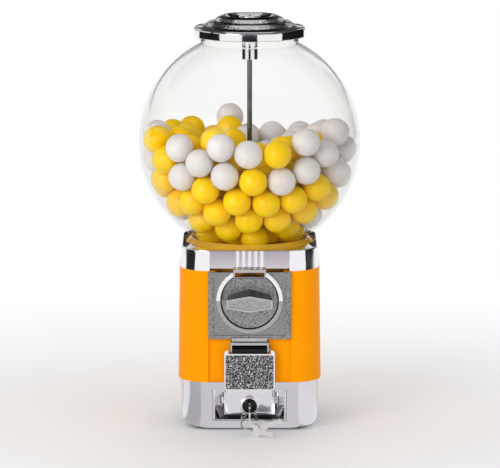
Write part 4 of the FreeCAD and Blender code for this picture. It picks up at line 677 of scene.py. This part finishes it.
def round_edges(piece: Piece, width: float, steps: int,
                chosen: Callable[[Vector, Vector], bool]) -> None:
    """Rounds chosen edges of a piece.

    Args:
        piece: the piece.
        width: width of the rounding in metres.
        steps: facets across the rounding.
        chosen: tells for an edge's two ends whether it is rounded.
    """
    bpy.context.tool_settings.mesh_select_mode = (False, True, False)
    with editing(piece):
        bpy.ops.mesh.select_all(action="DESELECT")
    corners = piece.data.vertices
    for edge in piece.data.edges:
        edge.select = chosen(*(corners[index].co for index in edge.vertices))
    bpy.ops.object.mode_set(mode="EDIT")
    bpy.ops.mesh.bevel(offset=width, segments=steps, affect="EDGES")
    bpy.ops.object.mode_set(mode="OBJECT")
    bpy.context.tool_settings.mesh_select_mode = (True, False, False)


def ride(piece: Piece, body: Body) -> None:
    """Sets a new piece on a body and logs its number of faces.

    Args:
        piece: the piece.
        body: the body that carries it.
    """
    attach(piece, body.value)
    LOG.info("piece %s: %d faces", piece.name, len(piece.data.polygons))


def arc(centre: Point, radius: float, start: float, end: float, count: int) -> list[Point]:
    """Points along an arc.

    Args:
        centre: its middle.
        radius: its radius.
        start: first angle in degrees.
        end: last angle in degrees.
        count: number of steps.

    Returns:
        The points, both ends included.
    """
    angles = [math.radians(start + (end - start) * step / count) for step in range(count + 1)]
    return [(centre[0] + radius * math.cos(a), centre[1] + radius * math.sin(a)) for a in angles]


def line(first: Point, last: Point, count: int) -> list[Point]:
    """Evenly spaced points from one point to another.

    Args:
        first: the first point.
        last: the last point.
        count: number of steps.

    Returns:
        The points, both ends included.
    """
    shares = [step / count for step in range(count + 1)]
    return [tuple(a + (b - a) * share for a, b in zip(first, last)) for share in shares]


def turn(name: str, profile: Sequence[Point], segments: int) -> Piece:
    """Turns a closed profile about the upright axis, ring by ring.

    Args:
        name: name of the piece.
        profile: radius and height of each ring in millimetres, all radii above 0.
        segments: facets round the axis.

    Returns:
        The turned piece.
    """
    deselect()
    radius, height = profile[0]
    bpy.ops.mesh.primitive_circle_add(
        vertices=segments, radius=radius * MM, location=(0, 0, height * MM))
    piece = bpy.context.object
    piece.name = name
    bpy.ops.object.transform_apply(location=True, rotation=False, scale=False)
    with editing(piece):
        for next_radius, next_height in [*profile[1:], profile[0]]:
            rise = (0, 0, (next_height - height) * MM)
            bpy.ops.mesh.extrude_edges_move(TRANSFORM_OT_translate={"value": rise})
            wider = next_radius / radius
            bpy.ops.transform.resize(
                value=(wider, wider, 1), center_override=(0, 0, next_height * MM))
            radius, height = next_radius, next_height
        bpy.ops.mesh.select_all(action="SELECT")
        bpy.ops.mesh.remove_doubles(threshold=WELD)
        bpy.ops.mesh.normals_make_consistent(inside=False)
    return piece


def dent(piece: Piece, size: float, depth: float, inside: Callable[[Vector], bool]) -> None:
    """Beats hammer marks into part of a piece.

    Args:
        piece: the piece, with facets finer than the marks.
        size: size of a mark in metres.
        depth: depth of a mark in metres.
        inside: tells for a point whether it is beaten.
    """
    marked = piece.vertex_groups.new(name="beaten")
    marked.add([v.index for v in piece.data.vertices if inside(v.co)], 1.0, "REPLACE")
    marks = bpy.data.textures.new(f"{piece.name}_marks", "VORONOI")
    marks.noise_scale = size
    marks.distance_metric = "DISTANCE_SQUARED"
    marks.noise_intensity = MARK_CONTRAST
    hammer = piece.modifiers.new("hammer", "DISPLACE")
    hammer.texture = marks
    hammer.texture_coords = "LOCAL"
    hammer.strength = depth
    hammer.mid_level = 1.0
    hammer.vertex_group = marked.name
    apply_modifiers(piece)
    piece.vertex_groups.clear()


# Sub-assemblies.  Their fields are in millimetres, or in metres where MM is written.


@dataclass
class Globe:
    """Clear globe with an upright mouth and a flared rim."""

    radius: float = 111.0
    wall: float = 2.2
    height: float = 284.2
    mouth: float = 49.2
    mouth_top: float = 395.5
    neck: float = 58.5
    flare_top: float = 187.3
    rim: float = 65.7
    rim_edge: float = 182.6
    rim_low: float = 180.8
    rim_lip: float = 0.4
    lip: float = 0.6
    painted_light_rise: float = 0.7
    steps: int = 90
    facets: int = 256
    smooth_to: float = 60.0

    def angle(self, radius: float, across: float, upper: bool) -> float:
        """Returns the angle in degrees at which a circle reaches a distance from the axis."""
        found = math.degrees(math.acos(across / radius))
        return found if upper else -found

    def build(self) -> None:
        """Turns the globe and dresses it."""
        inner = self.radius - self.wall
        mouth_in, neck_in = self.mouth - self.wall, self.neck - self.wall
        centre = (0.0, self.height)
        outside = arc(centre, self.radius, self.angle(self.radius, self.neck, False),
                      self.angle(self.radius, self.mouth, True), self.steps)
        inside = arc(centre, inner, self.angle(inner, mouth_in, True),
                     self.angle(inner, neck_in, False), self.steps)
        profile = [
            (neck_in, self.rim_low),
            (self.rim - self.rim_lip, self.rim_low),
            (self.rim, self.rim_low + self.rim_lip),
            (self.rim, self.rim_edge),
            (self.neck + self.lip, self.flare_top - self.lip / 2),
            (self.neck, self.flare_top + self.lip),
            *outside,
            (self.mouth, self.mouth_top - self.lip),
            (self.mouth - self.lip, self.mouth_top),
            (mouth_in + self.lip, self.mouth_top),
            (mouth_in, self.mouth_top - self.lip),
            *inside,
        ]
        globe = turn("clear_globe", profile, self.facets)
        smooth(globe, self.smooth_to)
        ACRYLIC.put_on(globe)
        # painted light: the flange takes the gumballs' yellow light as its colour
        paint(globe, FOOT_PIPED_LIGHT, lambda spot: spot.z < (self.flare_top + self.painted_light_rise) * MM)
        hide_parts("globe_neck", "globe_upper", "globe_lower")
        ride(globe, Body.MACHINE)
        # painted light: the gasket's amber is the gumballs' light through the flange
        GASKET_PIPED_LIGHT.put_on(frame["nodes"]["globe_gasket"])


@dataclass
class Lid:
    """Spun lid with two hammered bands, and the lock that holds it to the rod."""

    rim: float = 56.0
    low: float = 390.7
    shoulder: float = 397.6
    dish: float = 408.6
    lip: float = 0.4
    bright: float = 0.2
    bands: tuple[Spot, ...] = ((41.6, 46.4, 401.3), (32.7, 35.5, 406.4))
    mark: Point = (2.2 * MM, 0.2 * MM)
    # Heights between which the lock barrel is painted black, as shade in the gap below the lid's rim.
    painted_shade_heights: Point = (384.0, 400.0)
    ease: float = 0.3 * MM
    plug_ease: float = 0.25 * MM
    facets: int = 360
    smooth_to: float = 40.0

    def profile(self) -> list[Point]:
        """Lays out the lid's section, finely divided along the bands.

        Returns:
            The closed profile in millimetres.
        """
        return [
            (54.4, self.low),
            (self.rim - self.lip, self.low),
            (self.rim, self.low + self.lip),
            *arc((self.rim - 3.0, self.shoulder), 3.0, 0, 82, 8),
            *line((51.5, 400.75), (47.4, 401.2), 3),
            *line((46.7, 401.4), (41.2, 405.4), 7),
            *line((40.5, 405.65), (36.6, 406.2), 3),
            *line((35.7, 406.5), (32.4, 409.7), 5),
            *line((31.8, 410.0), (28.2, 411.5), 3),
            *arc((26.8, 410.3), 1.5, 70, 145, 6),
            (23.0, 408.9),
            (22.0, self.dish),
            (8.3, self.dish),
            (8.3, 406.6),
            (27.0, 406.6),
            (33.6, 403.6),
            (39.0, 403.6),
            (44.5, 397.8),
            (54.0, 397.8),
            (54.0, self.low + self.lip),
        ]

    def build(self) -> None:
        """Turns the lid, beats its bands and dresses its lock."""
        lid = turn("spun_lid", self.profile(), self.facets)
        dent(lid, *self.mark, self.on_band)
        smooth(lid, self.smooth_to)
        keep_flats(lid)
        # the lid takes the darker chrome as painted shade, with plain chrome on its rim below the
        # shoulder
        LID_SHADED_CHROME.put_on(lid)
        paint(lid, LID_HAMMERED, self.on_band)
        paint(lid, CHROME, lambda spot: spot.z < (self.shoulder + self.bright) * MM)
        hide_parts("lid")
        ride(lid, Body.LID)
        barrel = skin_of("lid_lock_barrel", CHROME, self.ease)
        # painted shade: the barrel's top, seen in the dark gap under the lid's rim, is black chrome
        low, high = self.painted_shade_heights
        for height in self.painted_shade_heights:
            with editing(barrel):
                bpy.ops.mesh.bisect(plane_co=(0, 0, height * MM), plane_no=(0, 0, 1))
        paint(barrel, BLACK_CHROME,
              lambda spot: (low - ON_CUT) * MM < spot.z < (high + ON_CUT) * MM)
        skin_of("lid_lock_plug", CHROME, self.plug_ease)
        skin_of("lid_lock_nut", STEEL, self.ease)
        PALE_RUBBER.put_on(frame["nodes"]["lid_gasket"])

    def on_band(self, spot: Vector) -> bool:
        """Tells whether a point lies on one of the two hammered bands."""
        away, height = math.hypot(spot.x, spot.y) / MM, spot.z / MM
        return any(inner < away < outer and height > floor for inner, outer, floor in self.bands)


@dataclass
class Gumballs:
    """Gumballs in the globe and in the wheel's pockets."""

    finishes: dict[str, Finish] = field(default_factory=lambda: {
        "gumballs_yellow": YELLOW_GUM,
        "gumballs_white": WHITE_GUM,
        "pocket_gumballs": YELLOW_GUM,
    })

    def build(self) -> None:
        """Dresses every gumball."""
        for node, finish in self.finishes.items():
            balls = skin_of(node, finish)


@dataclass
class Collar:
    """Chromed collar with ribs at the front."""

    ease: float = 0.4 * MM
    rib_front: float = 69.2
    rib_reach: float = 15.0
    rib_tall: float = 10.0
    rib_round: float = 1.4 * MM
    rib_steps: int = 4

    def build(self) -> None:
        """Rounds the ribs and dresses the collar."""
        collar = skin_of("collar", CHROME)
        round_edges(collar, self.rib_round, self.rib_steps, self.on_rib)
        ease_edges(collar, self.ease)
        smooth(collar)
        keep_flats(collar)

    def on_rib(self, first: Vector, last: Vector) -> bool:
        """Tells whether an edge runs up the front of a rib.

        Args:
            first: one end of the edge.
            last: its other end.

        Returns:
            True on a rib.
        """
        ahead = all(spot.y < -self.rib_front * MM for spot in (first, last))
        central = all(abs(spot.x) < self.rib_reach * MM for spot in (first, last))
        return ahead and central and abs(first.z - last.z) > self.rib_tall * MM


@dataclass
class BodyShell:
    """Painted body."""

    ease: float = 0.6 * MM
    steps: int = 3

    def build(self) -> None:
        """Dresses the shell."""
        skin_of("body_shell", ORANGE, self.ease, self.steps)


@dataclass
class CoinMechanism:
    """Cast face plate, slot block and knob."""

    ease: float = 0.5 * MM
    steps: int = 3
    axis: float = 134.4
    plate: float = 71.9
    ring: Point = (28.5, 33.7)
    dial: float = 73.8
    recess: float = 96.2
    grip_front: float = 96.7

    def build(self) -> None:
        """Dresses the cast pieces, with their raised parts polished, and painted shade on the ring's
        lower half and the grip's sides.
        """
        plate = skin_of("coin_face_plate", CAST_ZINC, self.ease, self.steps)
        paint(plate, CHROME, self.on_ring)
        # painted shade: the ring's lower half is duller than its upper half
        paint(plate, RING_SHADED_ZINC, lambda spot: self.on_ring(spot) and spot.z < self.axis * MM)
        skin_of("coin_slot_block", SMOOTH_ZINC, self.ease, self.steps)
        knob = skin_of("knob", CAST_ZINC, self.ease, self.steps)
        # painted shade: the grip's sides are dark zinc
        paint(knob, GRIP_SIDE_SHADE_ZINC, lambda spot: spot.y < -self.dial * MM)
        paint(knob, GRIP_ZINC, lambda spot: spot.y < -self.recess * MM)
        paint(knob, SMOOTH_ZINC, lambda spot: spot.y < -self.grip_front * MM)

    def on_ring(self, spot: Vector) -> bool:
        """Tells whether a point lies on the raised ring round the dial."""
        away = math.hypot(spot.x, spot.z - self.axis * MM) / MM
        return spot.y < -self.plate * MM and self.ring[0] < away < self.ring[1]


@dataclass
class ChuteDoor:
    """Flap with a hammered field, its hinge bracket and pin."""

    half: float = 23.85
    low: float = 45.15
    high: float = 79.55
    knuckle: Point = (17.6, 80.4)
    reach: float = 77.0
    lift: float = 0.45
    sheet: float = 0.6
    mark: Point = (1.7 * MM, 0.45 * MM)
    pitch: float = 0.5
    ease: float = 0.4 * MM
    smooth_to: float = 70.0

    def build(self) -> None:
        """Models the hammered field and dresses the hinge."""
        door = skin_of("chute_door", CHROME, self.ease)
        # The knuckle is black; the flat strip below it is painted black as shade.
        paint(door, BLACK_CHROME, self.on_knuckle_and_shaded_strip)
        skin_of("door_hinge_bracket", SMOOTH_ZINC, self.ease)
        skin_of("door_hinge_pin", STEEL, self.ease)
        self.build_field()

    def on_knuckle_and_shaded_strip(self, spot: Vector) -> bool:
        """Tells whether a point lies in the region of the door's black knuckle and of the flat strip
        below it, which is painted black as shade.
        """
        return abs(spot.x) < self.knuckle[0] * MM and spot.z > self.knuckle[1] * MM

    def build_field(self) -> None:
        """Lays a beaten sheet on the door's field, below its rim."""
        deselect()
        width, tall = self.half * 2, self.high - self.low
        middle = (0, -(self.reach + self.lift) * MM, (self.low + self.high) / 2 * MM)
        bpy.ops.mesh.primitive_grid_add(
            x_subdivisions=round(width / self.pitch), y_subdivisions=round(tall / self.pitch),
            size=1, location=middle, rotation=(math.radians(90), 0, 0))
        sheet = bpy.context.object
        sheet.name = "door_hammered_field"
        sheet.scale = (width * MM, tall * MM, 1)
        bpy.ops.object.transform_apply(location=True, rotation=True, scale=True)
        dent(sheet, *self.mark, lambda spot: True)
        with editing(sheet):
            bpy.ops.mesh.select_all(action="DESELECT")
            bpy.ops.mesh.select_non_manifold()
            back = (0, self.sheet * MM, 0)
            bpy.ops.mesh.extrude_edges_move(TRANSFORM_OT_translate={"value": back})
            bpy.ops.mesh.edge_face_add()
        smooth(sheet, self.smooth_to)
        DOOR_HAMMERED.put_on(sheet)
        ride(sheet, Body.DOOR)


@dataclass
class Base:
    """Satin base, drawer front and lock."""

    ease: float = 0.6 * MM
    bezel_ease: float = 0.4 * MM
    plug_ease: float = 0.2 * MM
    foot_ease: float = 0.5 * MM
    steps: int = 3
    dish_floor: float = 56.0
    dish_half: float = 23.7
    dish_low: float = 15.2
    dish_high: float = 41.5
    dish_front: float = 67.7
    dish_mouth: float = 36.0
    dish_mouth_low: float = 12.4
    dish_round: float = 2.4 * MM
    round_steps: int = 4
    ledge: float = 0.4
    near: float = 0.1
    lip_radius: float = 3.5
    lip_turn: float = 47.4
    lock_height: float = 24.5
    lock_facets: int = 64
    lock_ring: tuple[Point, ...] = (
        (5.2, 60.5), (7.5, 60.5), (7.5, 60.75), (7.1, 61.1), (6.5, 61.4), (5.8, 61.6), (5.2, 61.65))

    def build(self) -> None:
        """Dresses the base and the drawer."""
        skin_of("base_shell", SATIN_CHROME, self.ease, self.steps)
        self.build_drawer()
        skin_of("lock_body", CHROME, self.bezel_ease, self.steps)
        skin_of("lock_plug", BLACK_CHROME, self.plug_ease)
        self.build_lock_face()
        skin_of("rubber_feet", RUBBER, self.foot_ease)

    def build_drawer(self) -> None:
        """Rounds the drawer front's dish at its lips and round its floor, and dresses it, with
        painted shade on the ledge below the floor.
        """
        front = skin_of("coin_drawer_front", CHROME)
        self.round_lips(front)
        round_edges(front, self.dish_round, self.round_steps, self.rounds_floor)
        smooth(front)
        keep_flats(front)
        # painted shade: the ledge below the dish's floor is black chrome
        paint(front, BLACK_CHROME, self.on_shaded_ledge)

    def round_lips(self, front: Piece) -> None:
        """Rounds the lips at both sides of the dish.

        Args:
            front: the drawer front.
        """
        rim, mouth, radius = self.dish_front, self.dish_mouth, self.lip_radius
        slope = (rim - self.dish_floor) / (mouth - self.dish_half)
        for step in range(1, self.round_steps + 1):
            angle = math.radians(self.lip_turn * step / self.round_steps)
            across = mouth - radius * math.sin(angle)
            back = rim - radius * (1 - math.cos(angle))
            for side in (-1, 1):
                with editing(front):
                    bpy.ops.mesh.bisect(plane_co=(side * across * MM, 0, 0), plane_no=(1, 0, 0))
            for corner in front.data.vertices:
                on_cut = abs(abs(corner.co.x) / MM - across) < ON_CUT
                on_slope = abs(-corner.co.y / MM - (rim - (mouth - across) * slope)) < 2 * ON_CUT
                if on_cut and on_slope:
                    corner.co.y = -back * MM

    def rounds_floor(self, first: Vector, last: Vector) -> bool:
        """Tells whether an edge runs round the dish's floor.

        Args:
            first: one end of the edge.
            last: its other end.

        Returns:
            True along the floor's border.
        """
        ends = (first, last)
        deep = all(abs(spot.y / MM + self.dish_floor) < self.near for spot in ends)
        upright = all(abs(abs(spot.x) / MM - self.dish_half) < self.near for spot in ends)
        low, high = (all(abs(spot.z / MM - height) < self.near for spot in ends)
                     for height in (self.dish_low, self.dish_high))
        return deep and (upright or low or high)

    def on_shaded_ledge(self, spot: Vector) -> bool:
        """Tells whether a point lies on the ledge below the dish's floor, which is painted black as
        shade.

        Args:
            spot: the point.

        Returns:
            True on the ledge.
        """
        low = self.dish_mouth_low - self.near < spot.z / MM < self.dish_low + self.ledge
        ahead = self.dish_floor - self.near < -spot.y / MM < self.dish_front + self.near
        return low and ahead and abs(spot.x) < self.dish_mouth * MM

    def build_lock_face(self) -> None:
        """Turns the dark domed ring between the lock's bezel and its plug."""
        face = turn("lock_face", self.lock_ring, self.lock_facets)
        face.rotation_euler = (math.radians(90), 0, 0)
        face.location = (0, 0, self.lock_height * MM)
        pick(face)
        bpy.ops.object.transform_apply(location=True, rotation=True, scale=False)
        smooth(face)
        BLACK_CHROME.put_on(face)
        ride(face, Body.DRAWER)


@dataclass
class Keys:
    """Key in the lock, ring and spare keys."""

    ease: float = 0.3 * MM

    def build(self) -> None:
        """Dresses the keys."""
        skin_of("drawer_key", NICKEL, self.ease)
        skin_of("key_ring", STEEL)
        skin_of("spare_keys", NICKEL, self.ease)


@dataclass
class InnerWorks:
    """Pieces inside the machine, by their finish."""

    nodes: dict[Finish, tuple[str, ...]] = field(default_factory=lambda: {
        ORANGE_PLASTIC: (
            "ball_wheel", "crown_gear", "outlet_cover", "hopper", "ball_chute", "coin_guide"),
        BRASS: ("wheel_bush", "coin_wheel", "drive_pinion"),
        ROD_STEEL: ("centre_rod",),
        STEEL: (
            "rod_nuts", "rod_washers", "flange_screws", "spindle", "spindle_clip", "ratchet_wheel",
            "ratchet_spring", "mech_back_plate", "mech_posts", "floor_plate", "coin_drawer_tray",
            "drawer_runners", "lock_nut", "lock_cam"),
    })

    def build(self) -> None:
        """Dresses each inner piece."""
        for finish, nodes in self.nodes.items():
            for node in nodes:
                skin_of(node, finish)


# Studio


class Lay(Enum):
    """How a card is set."""

    UPRIGHT = "stands upright, facing the machine"
    FLAT = "lies on the floor"


@dataclass(frozen=True)
class Card:
    """Sheet of card beside the set that only shows in polished surfaces.

    Azimuth is in degrees, 0 towards the camera and growing to the right.  An upright card stands
    at its distance over a range of heights; a flat one lies over a range of distances.
    """

    name: str
    azimuth: Point
    span: Point
    shade: Colour
    distance: float = 2.2
    lay: Lay = Lay.UPRIGHT
    thickness: float = 0.0005

    def corners(self) -> list[Vector]:
        """Finds the card's corners.

        Returns:
            Its four corners in metres, row by row.
        """
        angles = [math.radians(angle) for angle in self.azimuth]
        edge = self.distance / math.cos((angles[1] - angles[0]) / 2)
        rows = ([(away, self.thickness) for away in self.span] if self.lay is Lay.FLAT
                else [(edge, height) for height in self.span])
        return [Vector((away * math.sin(angle), -away * math.cos(angle), height))
                for away, height in rows for angle in angles]

    def build(self) -> None:
        """Sets the card up."""
        deselect()
        bpy.ops.mesh.primitive_plane_add(size=1)
        card = bpy.context.object
        card.name = self.name
        for corner, place in zip(card.data.vertices, self.corners()):
            corner.co = place
        wiring = Wiring(self.name)
        paper = wiring.node("ShaderNodeEmission", Color=self.shade, Strength=1.0)
        path = wiring.node("ShaderNodeLightPath")
        mirrored = wiring.between(path.outputs["Glossy Depth"], 0.0, 1.0, (0.0, 1.0))
        gap = wiring.node("ShaderNodeBsdfTransparent", Color=(1, 1, 1))
        wiring.show(mirrored, gap.outputs["BSDF"], paper.outputs["Emission"])
        card.data.materials.append(wiring.material)
        card.visible_camera = False
        card.visible_diffuse = False
        card.visible_shadow = False


BLACK = (0.01, 0.01, 0.01)
DARK = (0.08, 0.08, 0.08)
DUSK = (0.15, 0.15, 0.15)
LILAC = (0.46, 0.38, 0.45)
WHITE = (1.0, 1.0, 1.0)
CARDS = (
    Card("front_card", (-9, 9), (0.148, 1.3), LILAC, 2.4),
    Card("front_low_flag", (-15, 15), (0.2, 0.35), BLACK, 0.6),
    Card("front_flag", (-60, 60), (1.35, 4.0), DARK),
    Card("right_flag", (70, 150), (0.0, 1.5), BLACK),
    Card("right_upper_flag", (60, 140), (1.5, 4.5), DUSK),
    Card("left_flag", (-124, -64), (0.0, 0.3), BLACK),
    Card("left_tall_flag", (-88, -80), (0.3, 1.5), BLACK),
    Card("left_rim_flag", (-125, -72), (0.235, 0.33), BLACK, 1.0),
    Card("left_upper_flag", (-140, -60), (1.5, 4.5), DUSK),
    Card("back_flag", (126, 234), (1.8, 5.8), BLACK),
    Card("back_card", (160, 200), (0.75, 1.8), DARK),
    Card("back_low_card", (140, 220), (0.46, 0.63), BLACK),
    Card("base_front_card", (-40, 40), (0.075, 0.3), (0.76, 0.74, 0.77), lay=Lay.FLAT),
    Card("base_left_card", (-75, -40), (0.085, 0.3), (0.53, 0.52, 0.54), lay=Lay.FLAT),
    Card("base_left_streak", (-105, -75), (0.085, 0.3), WHITE, lay=Lay.FLAT),
    Card("base_right_card", (40, 110), (0.085, 0.3), (0.95, 0.94, 0.96), lay=Lay.FLAT),
)


@dataclass(frozen=True)
class Lamp:
    """Large square lamp: place and side in metres, power in watts."""

    name: str
    spot: Spot
    size: float
    power: float
    mirrored: bool = False

    def build(self, target: Vector) -> None:
        """Hangs the lamp; mirrors and glass show it only where it is meant to be mirrored.

        Args:
            target: the place it faces.
        """
        data = bpy.data.lights.new(self.name, "AREA")
        data.size = self.size
        data.energy = self.power
        lamp = bpy.data.objects.new(self.name, data)
        lamp.location = self.spot
        lamp.visible_glossy = self.mirrored
        lamp.visible_transmission = self.mirrored
        lamp.rotation_euler = (target - Vector(self.spot)).to_track_quat("-Z", "Y").to_euler()
        bpy.context.scene.collection.objects.link(lamp)


LAMPS = (
    Lamp("key", (-1.5, -2.1, 1.0), 1.3, 23.0, mirrored=True),
    Lamp("fill", (1.7, -1.5, 0.8), 1.2, 5.0),
    Lamp("top", (0.0, -0.2, 2.3), 1.4, 4.0),
    Lamp("low", (0.0, -2.4, 0.2), 1.0, 10.0),
    Lamp("back", (0.2, 2.1, 0.8), 1.5, 16.0),
)


@dataclass
class Studio:
    """Pale floor, soft lamps and the camera at the photograph's angle."""

    target: Vector = field(default_factory=lambda: Vector((0, 0, 0.205)))
    distance: float = 4.0
    elevation: float = 9.1
    lens: float = 285.15
    shift: Point = (0.0008, -0.0307)
    sensor: float = 36.0
    sight: float = 100.0
    sky: float = 0.64
    floor_radius: float = 14.0
    floor_sides: int = 96
    floor_tone: Colour = (0.9, 0.9, 0.9)
    floor_fade: Point = (0.25, 0.7)

    def build(self) -> None:
        """Sets up everything round the machine."""
        scene = bpy.context.scene
        scene.view_settings.view_transform = "Standard"
        self.build_world(scene)
        self.build_floor()
        for lamp in LAMPS:
            lamp.build(self.target)
        for card in CARDS:
            card.build()
        self.build_camera(scene)

    def seen(self, tree: bpy.types.NodeTree) -> Socket:
        """Adds nodes that tell a sight line from a ray that lights a surface.

        Args:
            tree: the node tree.

        Returns:
            1 for camera, mirror and glass rays, 0 for rays that left a matt surface on their way.
        """
        path = tree.nodes.new("ShaderNodeLightPath")
        total = path.outputs["Is Camera Ray"]
        for name in ("Is Glossy Ray", "Is Transmission Ray"):
            total = reckon(tree, "MAXIMUM", total, path.outputs[name])
        direct = reckon(tree, "LESS_THAN", path.outputs["Diffuse Depth"], 0.5)
        return reckon(tree, "MULTIPLY", total, direct)

    def build_world(self, scene: bpy.types.Scene) -> None:
        """White surroundings that light the machine softly.

        Args:
            scene: the scene.
        """
        world = bpy.data.worlds.new("studio")
        world.use_nodes = True
        tree = world.node_tree
        light = tree.nodes["Background"]
        light.inputs["Color"].default_value = (1, 1, 1, 1)
        light.inputs["Strength"].default_value = self.sky
        backdrop = tree.nodes.new("ShaderNodeBackground")
        backdrop.inputs["Color"].default_value = (1, 1, 1, 1)
        backdrop.inputs["Strength"].default_value = 1.0
        mix = tree.nodes.new("ShaderNodeMixShader")
        tree.links.new(self.seen(tree), mix.inputs["Fac"])
        tree.links.new(light.outputs["Background"], mix.inputs[1])
        tree.links.new(backdrop.outputs["Background"], mix.inputs[2])
        tree.links.new(mix.outputs["Shader"], tree.nodes["World Output"].inputs["Surface"])
        scene.world = world

    def build_floor(self) -> None:
        """Wide pale floor that keeps the machine's shadow and turns white further out."""
        deselect()
        bpy.ops.mesh.primitive_circle_add(
            vertices=self.floor_sides, radius=self.floor_radius, fill_type="NGON")
        floor = bpy.context.object
        floor.name = "studio_floor"
        wiring = Wiring("floor_paper")
        wiring.set(Base_Color=self.floor_tone, Roughness=0.9, Specular_IOR_Level=0.0)
        away = wiring.node("ShaderNodeVectorMath", Vector=wiring.point)
        away.operation = "LENGTH"
        far = wiring.between(away.outputs["Value"], 0.0, 1.0, self.floor_fade)
        share = reckon(wiring.tree, "MULTIPLY", far, self.seen(wiring.tree))
        glow = wiring.node("ShaderNodeEmission", Color=(1, 1, 1), Strength=1.0)
        wiring.show(share, wiring.shader.outputs["BSDF"], glow.outputs["Emission"])
        floor.data.materials.append(wiring.material)

    def build_camera(self, scene: bpy.types.Scene) -> None:
        """Places the camera.

        Args:
            scene: the scene.
        """
        data = bpy.data.cameras.new("camera")
        data.sensor_width = self.sensor
        data.lens = self.lens
        data.shift_x, data.shift_y = self.shift
        data.clip_end = self.sight
        camera = bpy.data.objects.new("camera", data)
        lift = math.radians(self.elevation)
        camera.location = self.target + self.distance * Vector((0, -math.cos(lift), math.sin(lift)))
        camera.rotation_euler = (self.target - camera.location).to_track_quat("-Z", "Y").to_euler()
        scene.collection.objects.link(camera)
        scene.camera = camera


def main() -> None:
    """Builds and dresses the machine."""
    logging.basicConfig(level=logging.INFO, format="%(name)s: %(message)s")
    for unit in (Studio(), Globe(), Lid(), Gumballs(), Collar(), BodyShell(), CoinMechanism(),
                 ChuteDoor(), Base(), Keys(), InnerWorks()):
        unit.build()
        LOG.info("built %s", type(unit).__name__)
    deselect()


if __name__ == "__main__":
    main()
